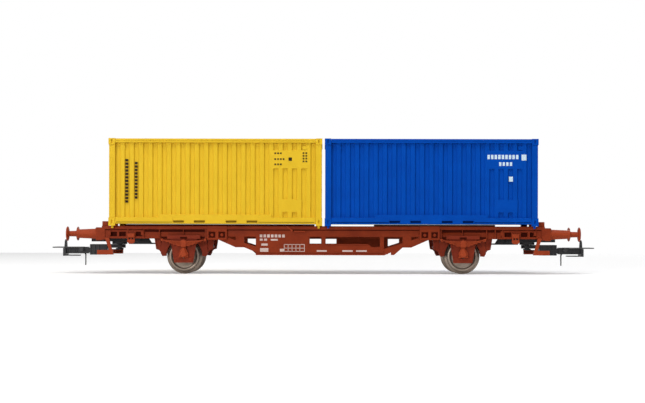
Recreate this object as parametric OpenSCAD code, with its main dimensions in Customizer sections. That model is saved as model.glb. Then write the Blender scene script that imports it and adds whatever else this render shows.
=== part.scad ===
// Model railway container flatcar, 1:87, on two wheelsets, with two 20 ft containers.
// Origin on the floor under the middle of the wagon. +X runs along the wagon towards the
// blue container, -Y is the near side, +Z is up. The wheel flanges touch the floor.

/* [Wagon frame] */
// Length over the outer faces of the headstocks
frame_l = 144.8; // [142:0.2:180]
// Width over the outer faces of the side frames
frame_w = 24.0; // [23.2:0.2:25.2]
// Height of the deck above the floor
deck_z = 15.7; // [15.4:0.1:18]
// Depth of the side beams at the wagon's ends
beam_h = 4.1; // [3.8:0.1:5]
// Thickness of the side frame's web
web_t = 0.9; // [0.7:0.1:1.2]
// Depth of the bays in the side frames over the axles
bay_depth = 0.5; // [0.2:0.05:0.6]
// Height of the truss's lowest edge above the floor
truss_z = 6.2; // [5:0.1:8]
// Thickness of the deck plate
deck_t = 1.0; // [0.8:0.1:1.2]
// Thickness of the ballast plate under the deck
ballast_t = 1.4; // [0.8:0.1:1.6]
// Height of the deck's pads under the containers
pad_h = 0.55; // [0.4:0.05:0.6]
// Each pad's two ends along the wagon
pad_ends = [[-66, -3], [17, 57]];

/* [Wheelsets] */
// Distance between the two axles
wheelbase = 91.3; // [90:0.1:96]
// Radius over the wheel flange
flange_r = 5.85; // [5.5:0.01:6]
// Height of the flange above the tread
flange_h = 0.9; // [0.6:0.05:1.1]
// Distance between the backs of the two wheels of an axle
back_to_back = 14.3; // [14.2:0.05:14.5]
// Width of a wheel, flange included
wheel_w = 2.8; // [2.4:0.1:3]
// Radius of the axle between the wheels
axle_r = 1.0; // [0.8:0.05:1.3]
// Radius of the journal at each end of the axle
journal_r = 0.7; // [0.5:0.05:0.9]
// Radial clearance of the journal in its bearing
journal_gap = 0.06; // [0.02:0.01:0.1]
// Length of an axle over its journals
axle_l = 24.7; // [24:0.1:25.2]

/* [Buffers and couplers] */
// Height of the buffers above the floor
buffer_z = 13.1; // [12.8:0.1:13.4]
// Distance between the buffers of one end
buffer_pitch = 20.1; // [19:0.1:20.5]
// Length of a buffer, from the headstock to its face
buffer_l = 11.9; // [9:0.1:14]
// Diameter of a buffer head
buffer_d = 4.8; // [4:0.1:5.4]
// Reach of the coupler loop beyond the headstock
coupler_reach = 17.8; // [17:0.1:22]
// Width over the coupler loop's wire
loop_w = 7.6; // [7.2:0.1:9]
// Diameter of the loop's wire
wire_d = 0.36; // [0.3:0.02:0.5]
// Radius of the pin that the coupler swings on
swing_pin_r = 0.8; // [0.6:0.05:1]
// Radial clearance of both coupler pins
pin_gap = 0.05; // [0.02:0.01:0.1]

/* [Containers] */
// Length of a container over its corner castings
box_l = 69.6; // [66:0.1:70]
// Width of a container over its corner castings
box_w = 28.0; // [26.6:0.1:29]
// Height of a container over its corner castings
box_h = 28.5; // [20:0.1:33.4]
// Gap between the two containers
box_gap = 0.8; // [0.6:0.1:2]
// Gap between a container's castings and the deck
seat_gap = 0.05; // [0.02:0.01:0.2]
// Thickness of the container's walls over their ribs
wall_t = 1.2; // [1:0.1:1.6]
// Distance of the wall's ribs behind the rails
wall_inset = 0.5; // [0.2:0.05:0.6]
// Height of the wall's ribs
rib_h = 0.4; // [0.2:0.05:0.6]
// Spacing of the wall's ribs
rib_pitch = 3.03; // [2.6:0.01:3.6]
// Depth of the fork pockets in the bottom rail
fork_depth = 0.7; // [0.5:0.05:1]

/* [Hidden] */
$fn = 48;

frame_brown = [0.47, 0.18, 0.12];
gear_red = [0.62, 0.24, 0.14];
coupler_black = [0.10, 0.10, 0.11];
wheel_grey = [0.56, 0.52, 0.48];
steel_grey = [0.62, 0.62, 0.63];
box_yellow = [0.90, 0.73, 0.18];
box_blue = [0.02, 0.28, 0.64];

eps = 0.01;                          // overlap that joins two shapes of one piece
half_l = frame_l / 2;
half_w = frame_w / 2;
beam_z = deck_z - beam_h;            // underside of the side beams
axle_x = wheelbase / 2;
axle_z = flange_r;                   // the flanges stand on the floor

// Side frame: a beam with a top flange, and a truss hanging under its middle
flange_d = 0.3;                      // how far the flanges stand out from the web
top_flange_h = 1.1;
low_flange_h = 0.4;
bay_x = [axle_x - 6.9, axle_x + 13]; // ends of the bays over the axles
window_floor = 0.15;                 // thickness left behind the windows at the beam's ends
headstock_t = 1.0;
inner_l = frame_l - 2 * headstock_t; // between the headstocks
opening_z = deck_z - 3.45;           // top of the truss's openings
lower_beam_h = 3.65;                 // depth of the truss's bottom member
truss_x = 34.3;                      // where the strut's lower edge meets the beam
truss_low_x = 22.1;                  // where the strut meets the bottom member
strut_h = 1.85;                      // vertical depth of a strut
strut_low_z = truss_z + 0.95;
post_x = 27.3;                       // middle of a queen post
post_w = 2.8;
foot_z = strut_low_z + 1.6;          // underside of the queen post's foot

// Ends of the frame
sill_y = 3.4;                        // middle of each centre sill
sill_t = 0.9;
sill_h = 3.2;
cross_x = [12, axle_x - 11, axle_x + 11.2];              // the cross bearers' distances from the middle
ballast_l = 118;
ballast_w = frame_w - 2 * web_t - 2 * flange_d - 0.4;

// Running gear, as distances from the axle
guard_y = axle_l / 2 - 1.15;         // inner face of the axle guard
guard_t = 0.8;
box_depth = 1.5;                     // how far the axlebox stands out from the guard
spring_half = 7.0;
spring_w = 1.1;
spring_leaves = 5;
leaf_t = 0.34;
spring_low = beam_z - 2.55;          // underside of the shortest leaf
box_top = spring_low - 0.3;          // top of the axlebox

// Couplers, as distances from the middle of the wagon
loop_tip_x = half_l + coupler_reach;
head_x = loop_tip_x - 3.5;           // front face of the coupler's head
head_t = 0.9;
swing_x = half_l - 4.2;              // the pin that the coupler swings on
mount_x0 = swing_x - 7.4;            // inner end of the coupler's mount
tongue_l = 4.8;                      // reach of the mount's tongue beyond that end
pocket_x0 = half_l - 0.4;
pocket_x1 = half_l + 5.4;
pocket_z0 = 6.1;
pocket_z1 = 9.6;
shank_z = 7.6;
loop_pivot_x = head_x - 6.2;
loop_pivot_z = 7.95;
loop_pin_r = 0.3;
loop_z = 8.55;                       // height of the loop's wire

// Containers
box_z = deck_z + seat_gap;
box_cx = (box_l + box_gap) / 2;      // distance of a container's middle from the wagon's
casting_l = 2.1;
casting_w = 1.9;
casting_h = 2.0;
post_inset = 0.2;                    // posts and rails lie this far inside the castings
corner_post = casting_l - post_inset;
top_rail_h = 1.35;
rail_t = 1.2;
rail_z0 = 0.65;                      // underside of the bottom rail over the castings' feet
rail_z1 = 2.75;
panel_gap = 0.02;                    // joint line between two container panels
wall_out = box_w / 2 - post_inset;   // outer face of the rails
pin_h = 0.8;                         // locating pin under each bottom casting

// ---------------------------------------------------------------- shared helpers

// Right-hand or left-hand end of a piece that is drawn at the +X end
module at_end(side) {
    mirror([side == "left" ? 1 : 0, 0, 0]) children();
}

// The same piece on the -Y and the +Y side
module both_sides() {
    for (m = [0, 1])
        mirror([0, m, 0]) children();
}

// The same piece at all four corners
module four_corners() {
    for (m = [0, 1])
        mirror([m, 0, 0]) both_sides() children();
}

// Box between two corners
module span(lo, hi) {
    translate(lo) cube(hi - lo);
}

// Plate of thickness t whose outline lies in the XZ plane and whose outer face is at y
module plate_xz(y, t) {
    translate([0, y + t, 0]) rotate([90, 0, 0]) linear_extrude(t) children();
}

// Rod along Y, from y0 to y1
module rod_y(r, y0, y1) {
    translate([0, y1, 0]) rotate([90, 0, 0]) cylinder(h = y1 - y0, r = r);
}

// ---------------------------------------------------------------- wagon frame

module deck() {
    inner_w = frame_w - 2 * web_t - 2 * flange_d;
    bay_w = (inner_w - 2 * sill_y - sill_t) / 2 - 2.2;
    pad_half_w = sill_y + sill_t / 2 + 0.55;
    color(frame_brown) {
        // pads along the middle, which the containers' floors almost touch
        for (pad = pad_ends)
            span([pad[0], -pad_half_w, deck_z - eps], [pad[1], pad_half_w, deck_z + pad_h]);
        difference() {
            span([-inner_l / 2, -inner_w / 2, deck_z - deck_t], [inner_l / 2, inner_w / 2, deck_z]);
            // open bays between the cross bearers, on each side of the centre sills
            for (bay = [[-33, -14], [-10, 10], [14, 33], [37.5, 54.5], [-54.5, -37.5]])
                both_sides()
                    span([bay[0], sill_y + sill_t / 2 + 0.8, deck_z - deck_t - eps],
                         [bay[1], sill_y + sill_t / 2 + 0.8 + bay_w, deck_z + eps]);
        }
    }
}

module centre_sill() {
    sill_z1 = deck_z - deck_t - ballast_t;
    color(frame_brown) {
        both_sides()
            span([-mount_x0, sill_y - sill_t / 2, sill_z1 - sill_h + ballast_t],
                 [mount_x0, sill_y + sill_t / 2, sill_z1]);
        for (x = cross_x, m = [-1, 1])
            span([m * x - 0.5, -half_w + web_t + flange_d, sill_z1 - 1.2],
                 [m * x + 0.5, half_w - web_t - flange_d, sill_z1]);
    }
}

module ballast_plate() {
    color(steel_grey)
        span([-ballast_l / 2, -ballast_w / 2, deck_z - deck_t - ballast_t],
             [ballast_l / 2, ballast_w / 2, deck_z - deck_t]);
}

// Outline of the truss, without its openings
module truss_outline() {
    strut_top = strut_low_z + (truss_x - truss_low_x) * 0.332;
    polygon([
        [-truss_x, strut_top], [-post_x - post_w / 2, foot_z], [-post_x + post_w / 2, foot_z],
        [-truss_low_x, strut_low_z], [-truss_low_x, truss_z], [truss_low_x - 2.2, truss_z],
        [truss_low_x, strut_low_z], [truss_low_x, truss_z + 0.1], [truss_low_x + 1, truss_z + 0.1],
        [post_x - post_w / 2, foot_z], [post_x + post_w / 2, foot_z], [truss_x, strut_top],
        [truss_x, deck_z - 2], [-truss_x, deck_z - 2]
    ]);
}

// Openings of the near truss. Its solid panel is left of the middle.
module truss_openings() {
    slope = 0.319;
    strut_top_z = strut_low_z + strut_h;
    low_z = truss_z + lower_beam_h;
    post_in = post_x - post_w / 2;
    post_out = post_x + post_w / 2;
    tip_x = truss_low_x + (opening_z - strut_top_z) / slope;
    // slivers outside the queen posts
    for (m = [0, 1])
        mirror([m, 0, 0])
            polygon([[post_out, opening_z], [tip_x, opening_z],
                     [post_out, strut_top_z + (post_out - truss_low_x) * slope]]);
    // between the left queen post and the panel
    polygon([[-post_in, opening_z], [-truss_low_x, opening_z], [-truss_low_x, strut_top_z],
             [-post_in, strut_top_z + (post_in - truss_low_x) * slope]]);
    // beside the middle post
    polygon([[-4.45, low_z], [-0.6, low_z], [-0.6, opening_z], [-4.45, opening_z]]);
    polygon([[0.75, low_z], [14.6, low_z], [15.8, low_z - 0.95], [18.5, low_z - 0.95],
             [18.5, opening_z], [0.75, opening_z]]);
    // between the right post and the right queen post
    polygon([[19.8, opening_z], [post_in, opening_z],
             [post_in, strut_top_z + (post_in - truss_low_x) * slope],
             [19.8, strut_top_z - (truss_low_x - 19.8) * slope]]);
}

module side_frame() {
    web_y = -half_w + flange_d;
    color(frame_brown) {
        difference() {
            plate_xz(web_y, web_t)
                difference() {
                    union() {
                        translate([-inner_l / 2, beam_z]) square([inner_l, beam_h]);
                        truss_outline();
                    }
                    truss_openings();
                }
            // windows at each end of the beam
            for (x = [60.3, 65.7, 68.6], m = [-1, 1])
                span([m * x - 1.1, web_y - eps, beam_z + 0.65],
                     [m * x + 1.1, web_y + web_t - window_floor, beam_z + 2.2]);
            // bays over the axles, open below
            for (m = [0, 1])
                mirror([m, 0, 0])
                    span([bay_x[0], web_y - eps, beam_z - eps],
                         [bay_x[1], web_y + bay_depth, deck_z - top_flange_h]);
        }
        span([-inner_l / 2, -half_w, deck_z - top_flange_h], [inner_l / 2, web_y + eps, deck_z]);
        span([-truss_low_x, -half_w, truss_z], [truss_low_x - 2.2, web_y + eps, truss_z + low_flange_h]);
        for (m = [-1, 1])
            span([m * post_x - post_w / 2, -half_w, foot_z],
                 [m * post_x + post_w / 2, web_y + eps, foot_z + low_flange_h]);
    }
}

module side_frame_near() {
    side_frame();
}

module side_frame_far() {
    rotate([0, 0, 180]) side_frame();
}

module headstock(side) {
    plate_z0 = beam_z - 0.4;
    color(frame_brown) at_end(side)
        difference() {
            union() {
                span([half_l - headstock_t, -half_w, plate_z0], [half_l, half_w, deck_z]);
                // buffer base plates
                both_sides()
                    span([half_l - eps, buffer_pitch / 2 - 1.95, buffer_z - 2.1],
                         [half_l + 1.9, buffer_pitch / 2 + 1.95, buffer_z + 2.1]);
            }
            // seats of the two buffers
            both_sides()
                translate([half_l + 0.9, buffer_pitch / 2, buffer_z]) rotate([0, 90, 0])
                    cylinder(h = 1.1, r = 1.0);
            // slot for the coupler's mount
            span([half_l - headstock_t - eps, -3.1, plate_z0 - eps], [half_l + eps, 3.1, beam_z - 0.4 + 1.2]);
        }
}

module headstock_left() {
    headstock("left");
}

module headstock_right() {
    headstock("right");
}

module end_stops() {
    color(frame_brown) four_corners()
        span([half_l - 2.0, half_w - 3.4, deck_z], [half_l - 0.1, half_w - 0.3, deck_z + 1.5]);
}

module tie_down_brackets() {
    bracket_x = 34.75;
    color(frame_brown) four_corners()
        difference() {
            span([bracket_x - 3.25, half_w, beam_z - 0.4], [bracket_x + 3.25, half_w + 0.5, deck_z + 0.05]);
            for (dx = [-1.6, 1.6])
                span([bracket_x + dx - 1.15, half_w + 0.1, beam_z + 0.1],
                     [bracket_x + dx + 1.15, half_w + 0.5 + eps, beam_z + 2.3]);
        }
}

module rope_hooks() {
    hook_x = 62.8;
    color(gear_red) four_corners()
        translate([hook_x, half_w - flange_d, 0])
            plate_xz(0, 0.9)
                polygon([[-0.6, beam_z + 1.6], [0.6, beam_z + 1.6], [0.6, beam_z - 0.9],
                         [1.3, beam_z - 1.8], [-1.3, beam_z - 1.8], [-0.6, beam_z - 0.9]]);
}

// ---------------------------------------------------------------- buffers and steps

module buffer() {
    // profile from the headstock outwards: [distance from the headstock, radius]
    seat = 0.9;
    rotate([0, 90, 0])
        rotate_extrude()
            polygon([
                [0, seat], [0.95, seat], [0.95, 1.9 + eps], [1.62, 1.9 + eps], [1.4, buffer_l - 3.4],
                [1.4, buffer_l - 3.1], [0.9, buffer_l - 3.1], [0.9, buffer_l - 0.75],
                [buffer_d / 2, buffer_l - 0.6], [buffer_d / 2, buffer_l - 0.15],
                [buffer_d / 2 - 0.2, buffer_l], [0, buffer_l]
            ]);
}

module buffers(side) {
    color(gear_red) at_end(side) both_sides()
        translate([half_l, buffer_pitch / 2, buffer_z]) buffer();
}

module buffers_left() {
    buffers("left");
}

module buffers_right() {
    buffers("right");
}

module steps(side) {
    board_x0 = half_l - 3.7;
    board_x1 = half_l + 1.5;
    board_z = 6.3;
    color(gear_red) at_end(side) both_sides() {
        // board with a front apron
        span([board_x0, half_w - 1.8, board_z], [board_x1, half_w + 0.4, board_z + 0.5]);
        span([board_x0, half_w, board_z], [board_x1, half_w + 0.4, board_z + 1.5]);
        // slanted hanger
        plate_xz(half_w - 0.3, 0.6)
            polygon([[board_x0 + 1.35, beam_z + 0.2], [half_l - headstock_t, beam_z + 0.2],
                     [board_x0 + 0.9, board_z + 0.4], [board_x0, board_z + 0.4]]);
    }
}

module steps_left() {
    steps("left");
}

module steps_right() {
    steps("right");
}

// ---------------------------------------------------------------- running gear

module axle_guards(side) {
    color(gear_red) at_end(side) both_sides()
        difference() {
            union() {
                plate_xz(guard_y, guard_t)
                    polygon([
                        [axle_x - 4.4, beam_z], [axle_x + 4.4, beam_z],
                        [axle_x + 3.15, axle_z - 2.0], [axle_x + 2.85, axle_z - 2.15],
                        [axle_x - 2.85, axle_z - 2.15], [axle_x - 3.15, axle_z - 2.0]
                    ]);
                // tie bar between the guard's legs
                span([axle_x - 3.0, guard_y - 0.1, axle_z - 2.15],
                     [axle_x + 3.0, guard_y + guard_t + 0.35, axle_z - 0.5]);
                // spring channel on the side beam's foot
                span([axle_x - 5.4, half_w - flange_d - bay_depth, beam_z - 0.15],
                     [axle_x + 5.4, half_w + 0.3, beam_z + 1.05]);
            }
            translate([axle_x, 0, axle_z]) rod_y(journal_r + journal_gap, guard_y - 1, guard_y + guard_t + 1);
        }
}

module axle_guards_left() {
    axle_guards("left");
}

module axle_guards_right() {
    axle_guards("right");
}

module axleboxes(side) {
    color(gear_red) at_end(side) both_sides()
        difference() {
            plate_xz(guard_y + guard_t, box_depth)
                polygon([
                    [axle_x - 1.4, axle_z - 0.45], [axle_x + 1.4, axle_z - 0.45],
                    [axle_x + 1.5, axle_z + 1.0], [axle_x + 0.45, box_top], [axle_x - 0.45, box_top],
                    [axle_x - 1.5, axle_z + 1.0]
                ]);
            translate([axle_x, 0, axle_z])
                rod_y(journal_r + journal_gap, guard_y, axle_l / 2 + journal_gap);
        }
}

module axleboxes_left() {
    axleboxes("left");
}

module axleboxes_right() {
    axleboxes("right");
}

// Leaves laid like steps, the longest on top, hung from two shackles under the beam
module leaf_springs(side) {
    sag = 0.55;
    main_z = spring_low + (spring_leaves - 1) * leaf_t;
    color(gear_red) at_end(side) both_sides()
        translate([axle_x, guard_y + guard_t + 0.02, 0]) {
            for (i = [0 : spring_leaves - 1])
                plate_xz(0, spring_w)
                    leaf(spring_half - 1.2 * i, main_z - leaf_t * i, sag);
            // shackles from the main leaf's eyes up to the beam
            for (m = [-1, 1])
                plate_xz(0.1, spring_w - 0.2)
                    polygon([[m * (spring_half - 0.75), main_z + sag - 0.3],
                             [m * (spring_half + 0.1), main_z + sag - 0.3],
                             [m * (spring_half + 0.35), beam_z - 0.02],
                             [m * (spring_half - 0.55), beam_z - 0.02]]);
            // buckle, standing on the axlebox
            span([-0.85, 0, box_top + 0.02], [0.85, spring_w + 0.15, main_z + leaf_t + 0.25]);
        }
}

// One leaf as a bent strip, [half its length, underside at the middle, rise of its ends]
module leaf(half, z0, rise) {
    ends = rise * pow(half / spring_half, 2);
    polygon([
        [-half, z0 + ends], [-half / 2, z0 + ends / 4], [0, z0], [half / 2, z0 + ends / 4], [half, z0 + ends],
        [half, z0 + ends + leaf_t + eps], [half / 2, z0 + ends / 4 + leaf_t + eps], [0, z0 + leaf_t + eps],
        [-half / 2, z0 + ends / 4 + leaf_t + eps], [-half, z0 + ends + leaf_t + eps]
    ]);
}

module leaf_springs_left() {
    leaf_springs("left");
}

module leaf_springs_right() {
    leaf_springs("right");
}

// Brake hangers and blocks in front of and behind each wheel
module brake_gear(side) {
    wheel_mid = (back_to_back + wheel_w) / 2;
    tread_r = flange_r - flange_h;
    shoe_r = tread_r + 0.95;
    color(gear_red) at_end(side) {
        for (m = [-1, 1]) {
            both_sides()
                translate([axle_x, wheel_mid - 0.4, 0])
                    plate_xz(0, 1.6)
                        polygon([
                            [m * 10.0, beam_z + 0.9], [m * 8.2, beam_z + 0.9], [m * 7.3, axle_z + 3.6],
                            [m * (shoe_r + 0.15), axle_z + 2.0], [m * shoe_r, axle_z + 0.6],
                            [m * (shoe_r + 0.05), axle_z - 0.1], [m * 7.2, axle_z - 0.1],
                            [m * 8.3, axle_z + 1.9], [m * 9.3, axle_z + 2.2]
                        ]);
            // cross tube between the two hangers
            translate([axle_x + m * 8.3, 0, axle_z + 3.0]) rod_y(0.45, -wheel_mid, wheel_mid);
            // bracket up to the frame
            both_sides()
                span([axle_x + m * 9.1 - 0.8, wheel_mid - 0.4, beam_z + 0.8],
                     [axle_x + m * 9.1 + 0.8, wheel_mid + 1.2, deck_z - deck_t - ballast_t]);
        }
    }
}

module brake_gear_left() {
    brake_gear("left");
}

module brake_gear_right() {
    brake_gear("right");
}

module axle(side) {
    point_h = 0.35;
    color(steel_grey) at_end(side)
        translate([axle_x, 0, axle_z]) {
            rod_y(axle_r, -guard_y + 0.3, guard_y - 0.3);
            both_sides() {
                rod_y(journal_r, guard_y - 0.4, axle_l / 2 - point_h);
                translate([0, axle_l / 2 - point_h - eps, 0]) rotate([-90, 0, 0])
                    cylinder(h = point_h, r1 = journal_r, r2 = 0.2);
            }
        }
}

module axle_left() {
    axle("left");
}

module axle_right() {
    axle("right");
}

// One wheel, its back face at 0: [radius, distance from the back]
module wheel() {
    tread_r = flange_r - flange_h;
    rotate_extrude($fn = 96)
        polygon([
            [axle_r + 0.005, 0], [1.7, 0], [1.7, 0.4], [4.1, 0.4], [4.1, 0], [flange_r - 0.25, 0],
            [flange_r, 0.25], [flange_r, 0.5], [flange_r - 0.25, 0.8], [tread_r + 0.05, 0.95],
            [tread_r - 0.1, wheel_w - 0.15], [tread_r - 0.25, wheel_w], [4.15, wheel_w],
            [4.15, wheel_w - 0.7], [2.0, wheel_w - 0.55], [1.7, wheel_w - 0.1],
            [axle_r + 0.005, wheel_w - 0.1]
        ]);
}

module wheels(side) {
    color(wheel_grey) at_end(side) both_sides()
        translate([axle_x, back_to_back / 2, axle_z]) rotate([-90, 0, 0]) wheel();
}

module wheels_left() {
    wheels("left");
}

module wheels_right() {
    wheels("right");
}

// ---------------------------------------------------------------- couplers

// Fixed plate under the frame's end, with the pin that the coupler swings on
module coupler_mount(side) {
    plate_z0 = pocket_z1 + 0.9;
    plate_z1 = plate_z0 + 1.1;
    tongue_z = pocket_z1 + pin_gap;
    color(coupler_black) at_end(side) {
        span([mount_x0, -2.9, plate_z0], [half_l + 4.8, 2.9, plate_z1]);
        span([mount_x0, -2.9, plate_z0], [half_l - headstock_t - 1, 2.9, deck_z - deck_t]);
        // tongue that ends between the brake gear and the mount
        plate_xz(-1.5, 3.0)
            polygon([[mount_x0 - tongue_l, tongue_z], [swing_x - 3.2, tongue_z], [swing_x - 3.2, plate_z1],
                     [mount_x0 - 2.3, plate_z1], [mount_x0 - 3.2, tongue_z + 0.45],
                     [mount_x0 - tongue_l, tongue_z + 0.45]]);
        // spacer over the drawbar
        translate([swing_x, 0, pocket_z1 + pin_gap]) cylinder(h = 0.9, r = 2.5);
        translate([swing_x, 0, pocket_z1 - 1.4]) cylinder(h = 2.5, r = swing_pin_r);
        // head of the pin, under the drawbar
        translate([swing_x, 0, pocket_z1 - 1.8]) cylinder(h = 0.5, r = swing_pin_r + 0.5);
    }
}

module coupler_mount_left() {
    coupler_mount("left");
}

module coupler_mount_right() {
    coupler_mount("right");
}

// Swinging drawbar with the socket that the coupler plugs into
module coupler_pocket(side) {
    bar_z0 = pocket_z1 - 1.2;
    color(coupler_black) at_end(side)
        difference() {
            union() {
                translate([swing_x, 0, bar_z0]) cylinder(h = 1.2, r = 2.0);
                span([swing_x, -2.0, bar_z0], [pocket_x0 + 1, 2.0, pocket_z1]);
                span([pocket_x0, -2.6, pocket_z0], [pocket_x1, 2.6, pocket_z1]);
            }
            translate([swing_x, 0, bar_z0 - 1]) cylinder(h = 4, r = swing_pin_r + pin_gap);
            span([pocket_x0 + 1.2, -1.65, shank_z - 0.85], [pocket_x1 + eps, 1.65, shank_z + 0.85]);
        }
}

module coupler_pocket_left() {
    coupler_pocket("left");
}

module coupler_pocket_right() {
    coupler_pocket("right");
}

// Plug-in coupler: shank, body, front plate with the hook, and the low guard bar
module coupler_head(side) {
    slot_half = 0.3;
    hook_h = 2.9;
    plate_z0 = shank_z - 1.9;
    plate_z1 = shank_z + 0.7;
    color(coupler_black) at_end(side)
        difference() {
            union() {
                span([pocket_x0 + 1.3, -1.6, shank_z - 0.8], [loop_pivot_x - 1.6, 1.6, shank_z + 0.8]);
                span([loop_pivot_x - 1.9, -1.8, shank_z - 1.1], [head_x - head_t + eps, 1.8, shank_z + 1.1]);
                span([head_x - head_t, -2.9, plate_z0], [head_x, 2.9, plate_z1]);
                plate_xz(-0.6, 1.2)
                    polygon([[head_x - head_t - 0.1, plate_z1 - 0.1], [head_x, plate_z1 - 0.1],
                             [head_x - 0.15, plate_z1 + hook_h - 0.7], [head_x - 0.35, plate_z1 + hook_h],
                             [head_x - head_t + 0.1, plate_z1 + hook_h]]);
                span([loop_pivot_x + 0.9, -1.2, plate_z0], [head_x - head_t + eps, 1.2, plate_z0 + 0.35]);
            }
            // slot for the loop's lever
            span([loop_pivot_x - 1.7, -slot_half, 5], [loop_pivot_x + 1.3, slot_half, 9]);
            translate([loop_pivot_x, 0, loop_pivot_z]) rod_y(loop_pin_r + pin_gap, -3, 3);
        }
}

module coupler_head_left() {
    coupler_head("left");
}

module coupler_head_right() {
    coupler_head("right");
}

// Wire loop on a cross pin, with the lever that lifts it
module coupler_loop(side) {
    wire_r = wire_d / 2;
    arm_y = loop_w / 2 - wire_r;
    lever_t = 0.36;
    lever_z = 2.6;
    bend_r = 0.7;
    bend_x = loop_tip_x - wire_r - bend_r;
    color(coupler_black) at_end(side) {
        both_sides() {
            translate([loop_pivot_x, arm_y, loop_z]) rotate([0, 90, 0])
                cylinder(h = bend_x - loop_pivot_x, r = wire_r);
            translate([bend_x, arm_y - bend_r, loop_z])
                rotate_extrude(angle = 90) translate([bend_r, 0]) circle(r = wire_r);
            // eye that joins the wire to the pin
            translate([loop_pivot_x, 0, loop_pivot_z]) rod_y(loop_pin_r + 0.35, arm_y - 0.12, arm_y + 0.12);
        }
        translate([loop_tip_x - wire_r, 0, loop_z]) rod_y(wire_r, bend_r - arm_y, arm_y - bend_r);
        translate([loop_pivot_x, 0, loop_pivot_z]) rod_y(loop_pin_r, -arm_y, arm_y);
        plate_xz(-lever_t / 2, lever_t)
            polygon([[loop_pivot_x - 0.25, loop_pivot_z + 0.25], [loop_pivot_x + 0.25, loop_pivot_z + 0.1],
                     [loop_pivot_x - 0.75, lever_z + 3.4], [loop_pivot_x - 0.75, lever_z],
                     [loop_pivot_x - 1.1, lever_z], [loop_pivot_x - 1.15, lever_z + 3.6]]);
    }
}

module coupler_loop_left() {
    coupler_loop("left");
}

module coupler_loop_right() {
    coupler_loop("right");
}

// ---------------------------------------------------------------- containers
// Drawn with the floor of the castings at z = 0, the middle at the origin and the doors at +X

module place_box(side, tint) {
    color(tint)
        translate([side == "left" ? -box_cx : box_cx, 0, box_z]) children();
}

// One corner casting with its two slots, its outer corner at [box_l / 2, box_w / 2]
module casting(z0, h) {
    x1 = box_l / 2;
    y1 = box_w / 2;
    slot_x = x1 - 1.1;
    slot_y = y1 - 1.0;
    difference() {
        span([x1 - casting_l, y1 - casting_w, z0], [x1, y1, z0 + h]);
        span([slot_x - 0.25, y1 - 0.4, z0 + h / 2 - 0.6], [slot_x + 0.25, y1 + eps, z0 + h / 2 + 0.6]);
        span([x1 - 0.4, slot_y - 0.25, z0 + h / 2 - 0.6], [x1 + eps, slot_y + 0.25, z0 + h / 2 + 0.6]);
    }
}

// Two posts, four castings and the end's two cross rails
module end_frame() {
    x_out = box_l / 2 - post_inset;
    both_sides() {
        casting(0, casting_h + 0.6);
        casting(box_h - casting_h, casting_h);
        span([x_out - corner_post, wall_out - corner_post, casting_h],
             [x_out, wall_out, box_h - casting_h + eps]);
        // locating pin outside the side beam
        span([box_l / 2 - 1.5, half_w + 0.35, -pin_h], [box_l / 2 - 0.8, half_w + 1.0, eps]);
    }
    span([x_out - rail_t, -box_w / 2 + casting_w - eps, box_h - post_inset / 2 - top_rail_h],
         [x_out, box_w / 2 - casting_w + eps, box_h - post_inset / 2]);
    span([x_out - rail_t, -box_w / 2 + casting_w - eps, rail_z0],
         [x_out, box_w / 2 - casting_w + eps, rail_z1 - 0.4]);
}

// Half the length between the two end frames
rail_half = box_l / 2 - casting_l - panel_gap;

// Distances of the fork pockets from the container's middle, and their size
fork_x = [-11.95, -5.15, 5.15, 11.95];
fork_l = 3.5;
fork_z0 = 1.0;
fork_h = 0.75;
band_half = 18.3;                    // the bottom rail's raised band
band_h = 0.95;

module side_rails() {
    both_sides() {
        span([-rail_half, wall_out - rail_t, box_h - post_inset / 2 - top_rail_h],
             [rail_half, wall_out, box_h - post_inset / 2]);
        difference() {
            union() {
                span([-rail_half, wall_out - rail_t, rail_z0], [rail_half, wall_out, rail_z1]);
                span([-band_half, wall_out - rail_t, rail_z1 - eps], [band_half, wall_out, rail_z1 + band_h]);
            }
            for (x = fork_x)
                span([x - fork_l / 2, wall_out - fork_depth, fork_z0],
                     [x + fork_l / 2, wall_out + eps, fork_z0 + fork_h]);
        }
    }
}

// Corrugated strip of a given half length, its ribs facing +Y up to y = 0
module ribbed(half, ribs) {
    rib_top = 1.3;
    slope = 0.26;
    first = -(ribs - 1) / 2 * rib_pitch;
    crest = [for (i = [0 : ribs - 1], p = [[-rib_top / 2 - slope, -rib_h], [-rib_top / 2, 0],
                                           [rib_top / 2, 0], [rib_top / 2 + slope, -rib_h]])
             [first + i * rib_pitch + p[0], p[1]]];
    polygon(concat([[-half, -wall_t], [-half, -rib_h]], crest, [[half, -rib_h], [half, -wall_t]]));
}

wall_z0 = rail_z1 + panel_gap;
wall_z1 = box_h - post_inset / 2 - top_rail_h - panel_gap;
wall_face = wall_out - wall_inset;   // outer face of the side walls' ribs
side_ribs = 2 * floor((rail_half - 0.9) / rib_pitch) + 1;

// Flat plates near the doors, for markings: [x0, x1] from the doors, [z0, z1] from the castings' feet
label_plates = [[3.8, 16.2, box_h - 9.9, box_h - 3.7], [6.6, 13.5, 4.4, 8.8]];

module side_walls() {
    for (a = [0, 180])
        rotate([0, 0, a])
            difference() {
                union() {
                    translate([0, -wall_face, wall_z0]) mirror([0, 1, 0])
                        linear_extrude(wall_z1 - wall_z0) ribbed(rail_half, side_ribs);
                    for (p = label_plates)
                        span([box_l / 2 - p[1], -wall_face - 0.02, p[2]],
                             [box_l / 2 - p[0], -wall_face + wall_t - eps, p[3]]);
                }
                // clear of the bottom rail's raised band
                span([-band_half - panel_gap, -wall_face - 1, 0],
                     [band_half + panel_gap, -wall_face + wall_t + 1, rail_z1 + band_h + panel_gap]);
            }
}

end_half = wall_out - corner_post - panel_gap;
end_ribs = 2 * floor((end_half - 0.9) / rib_pitch) + 1;

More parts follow.
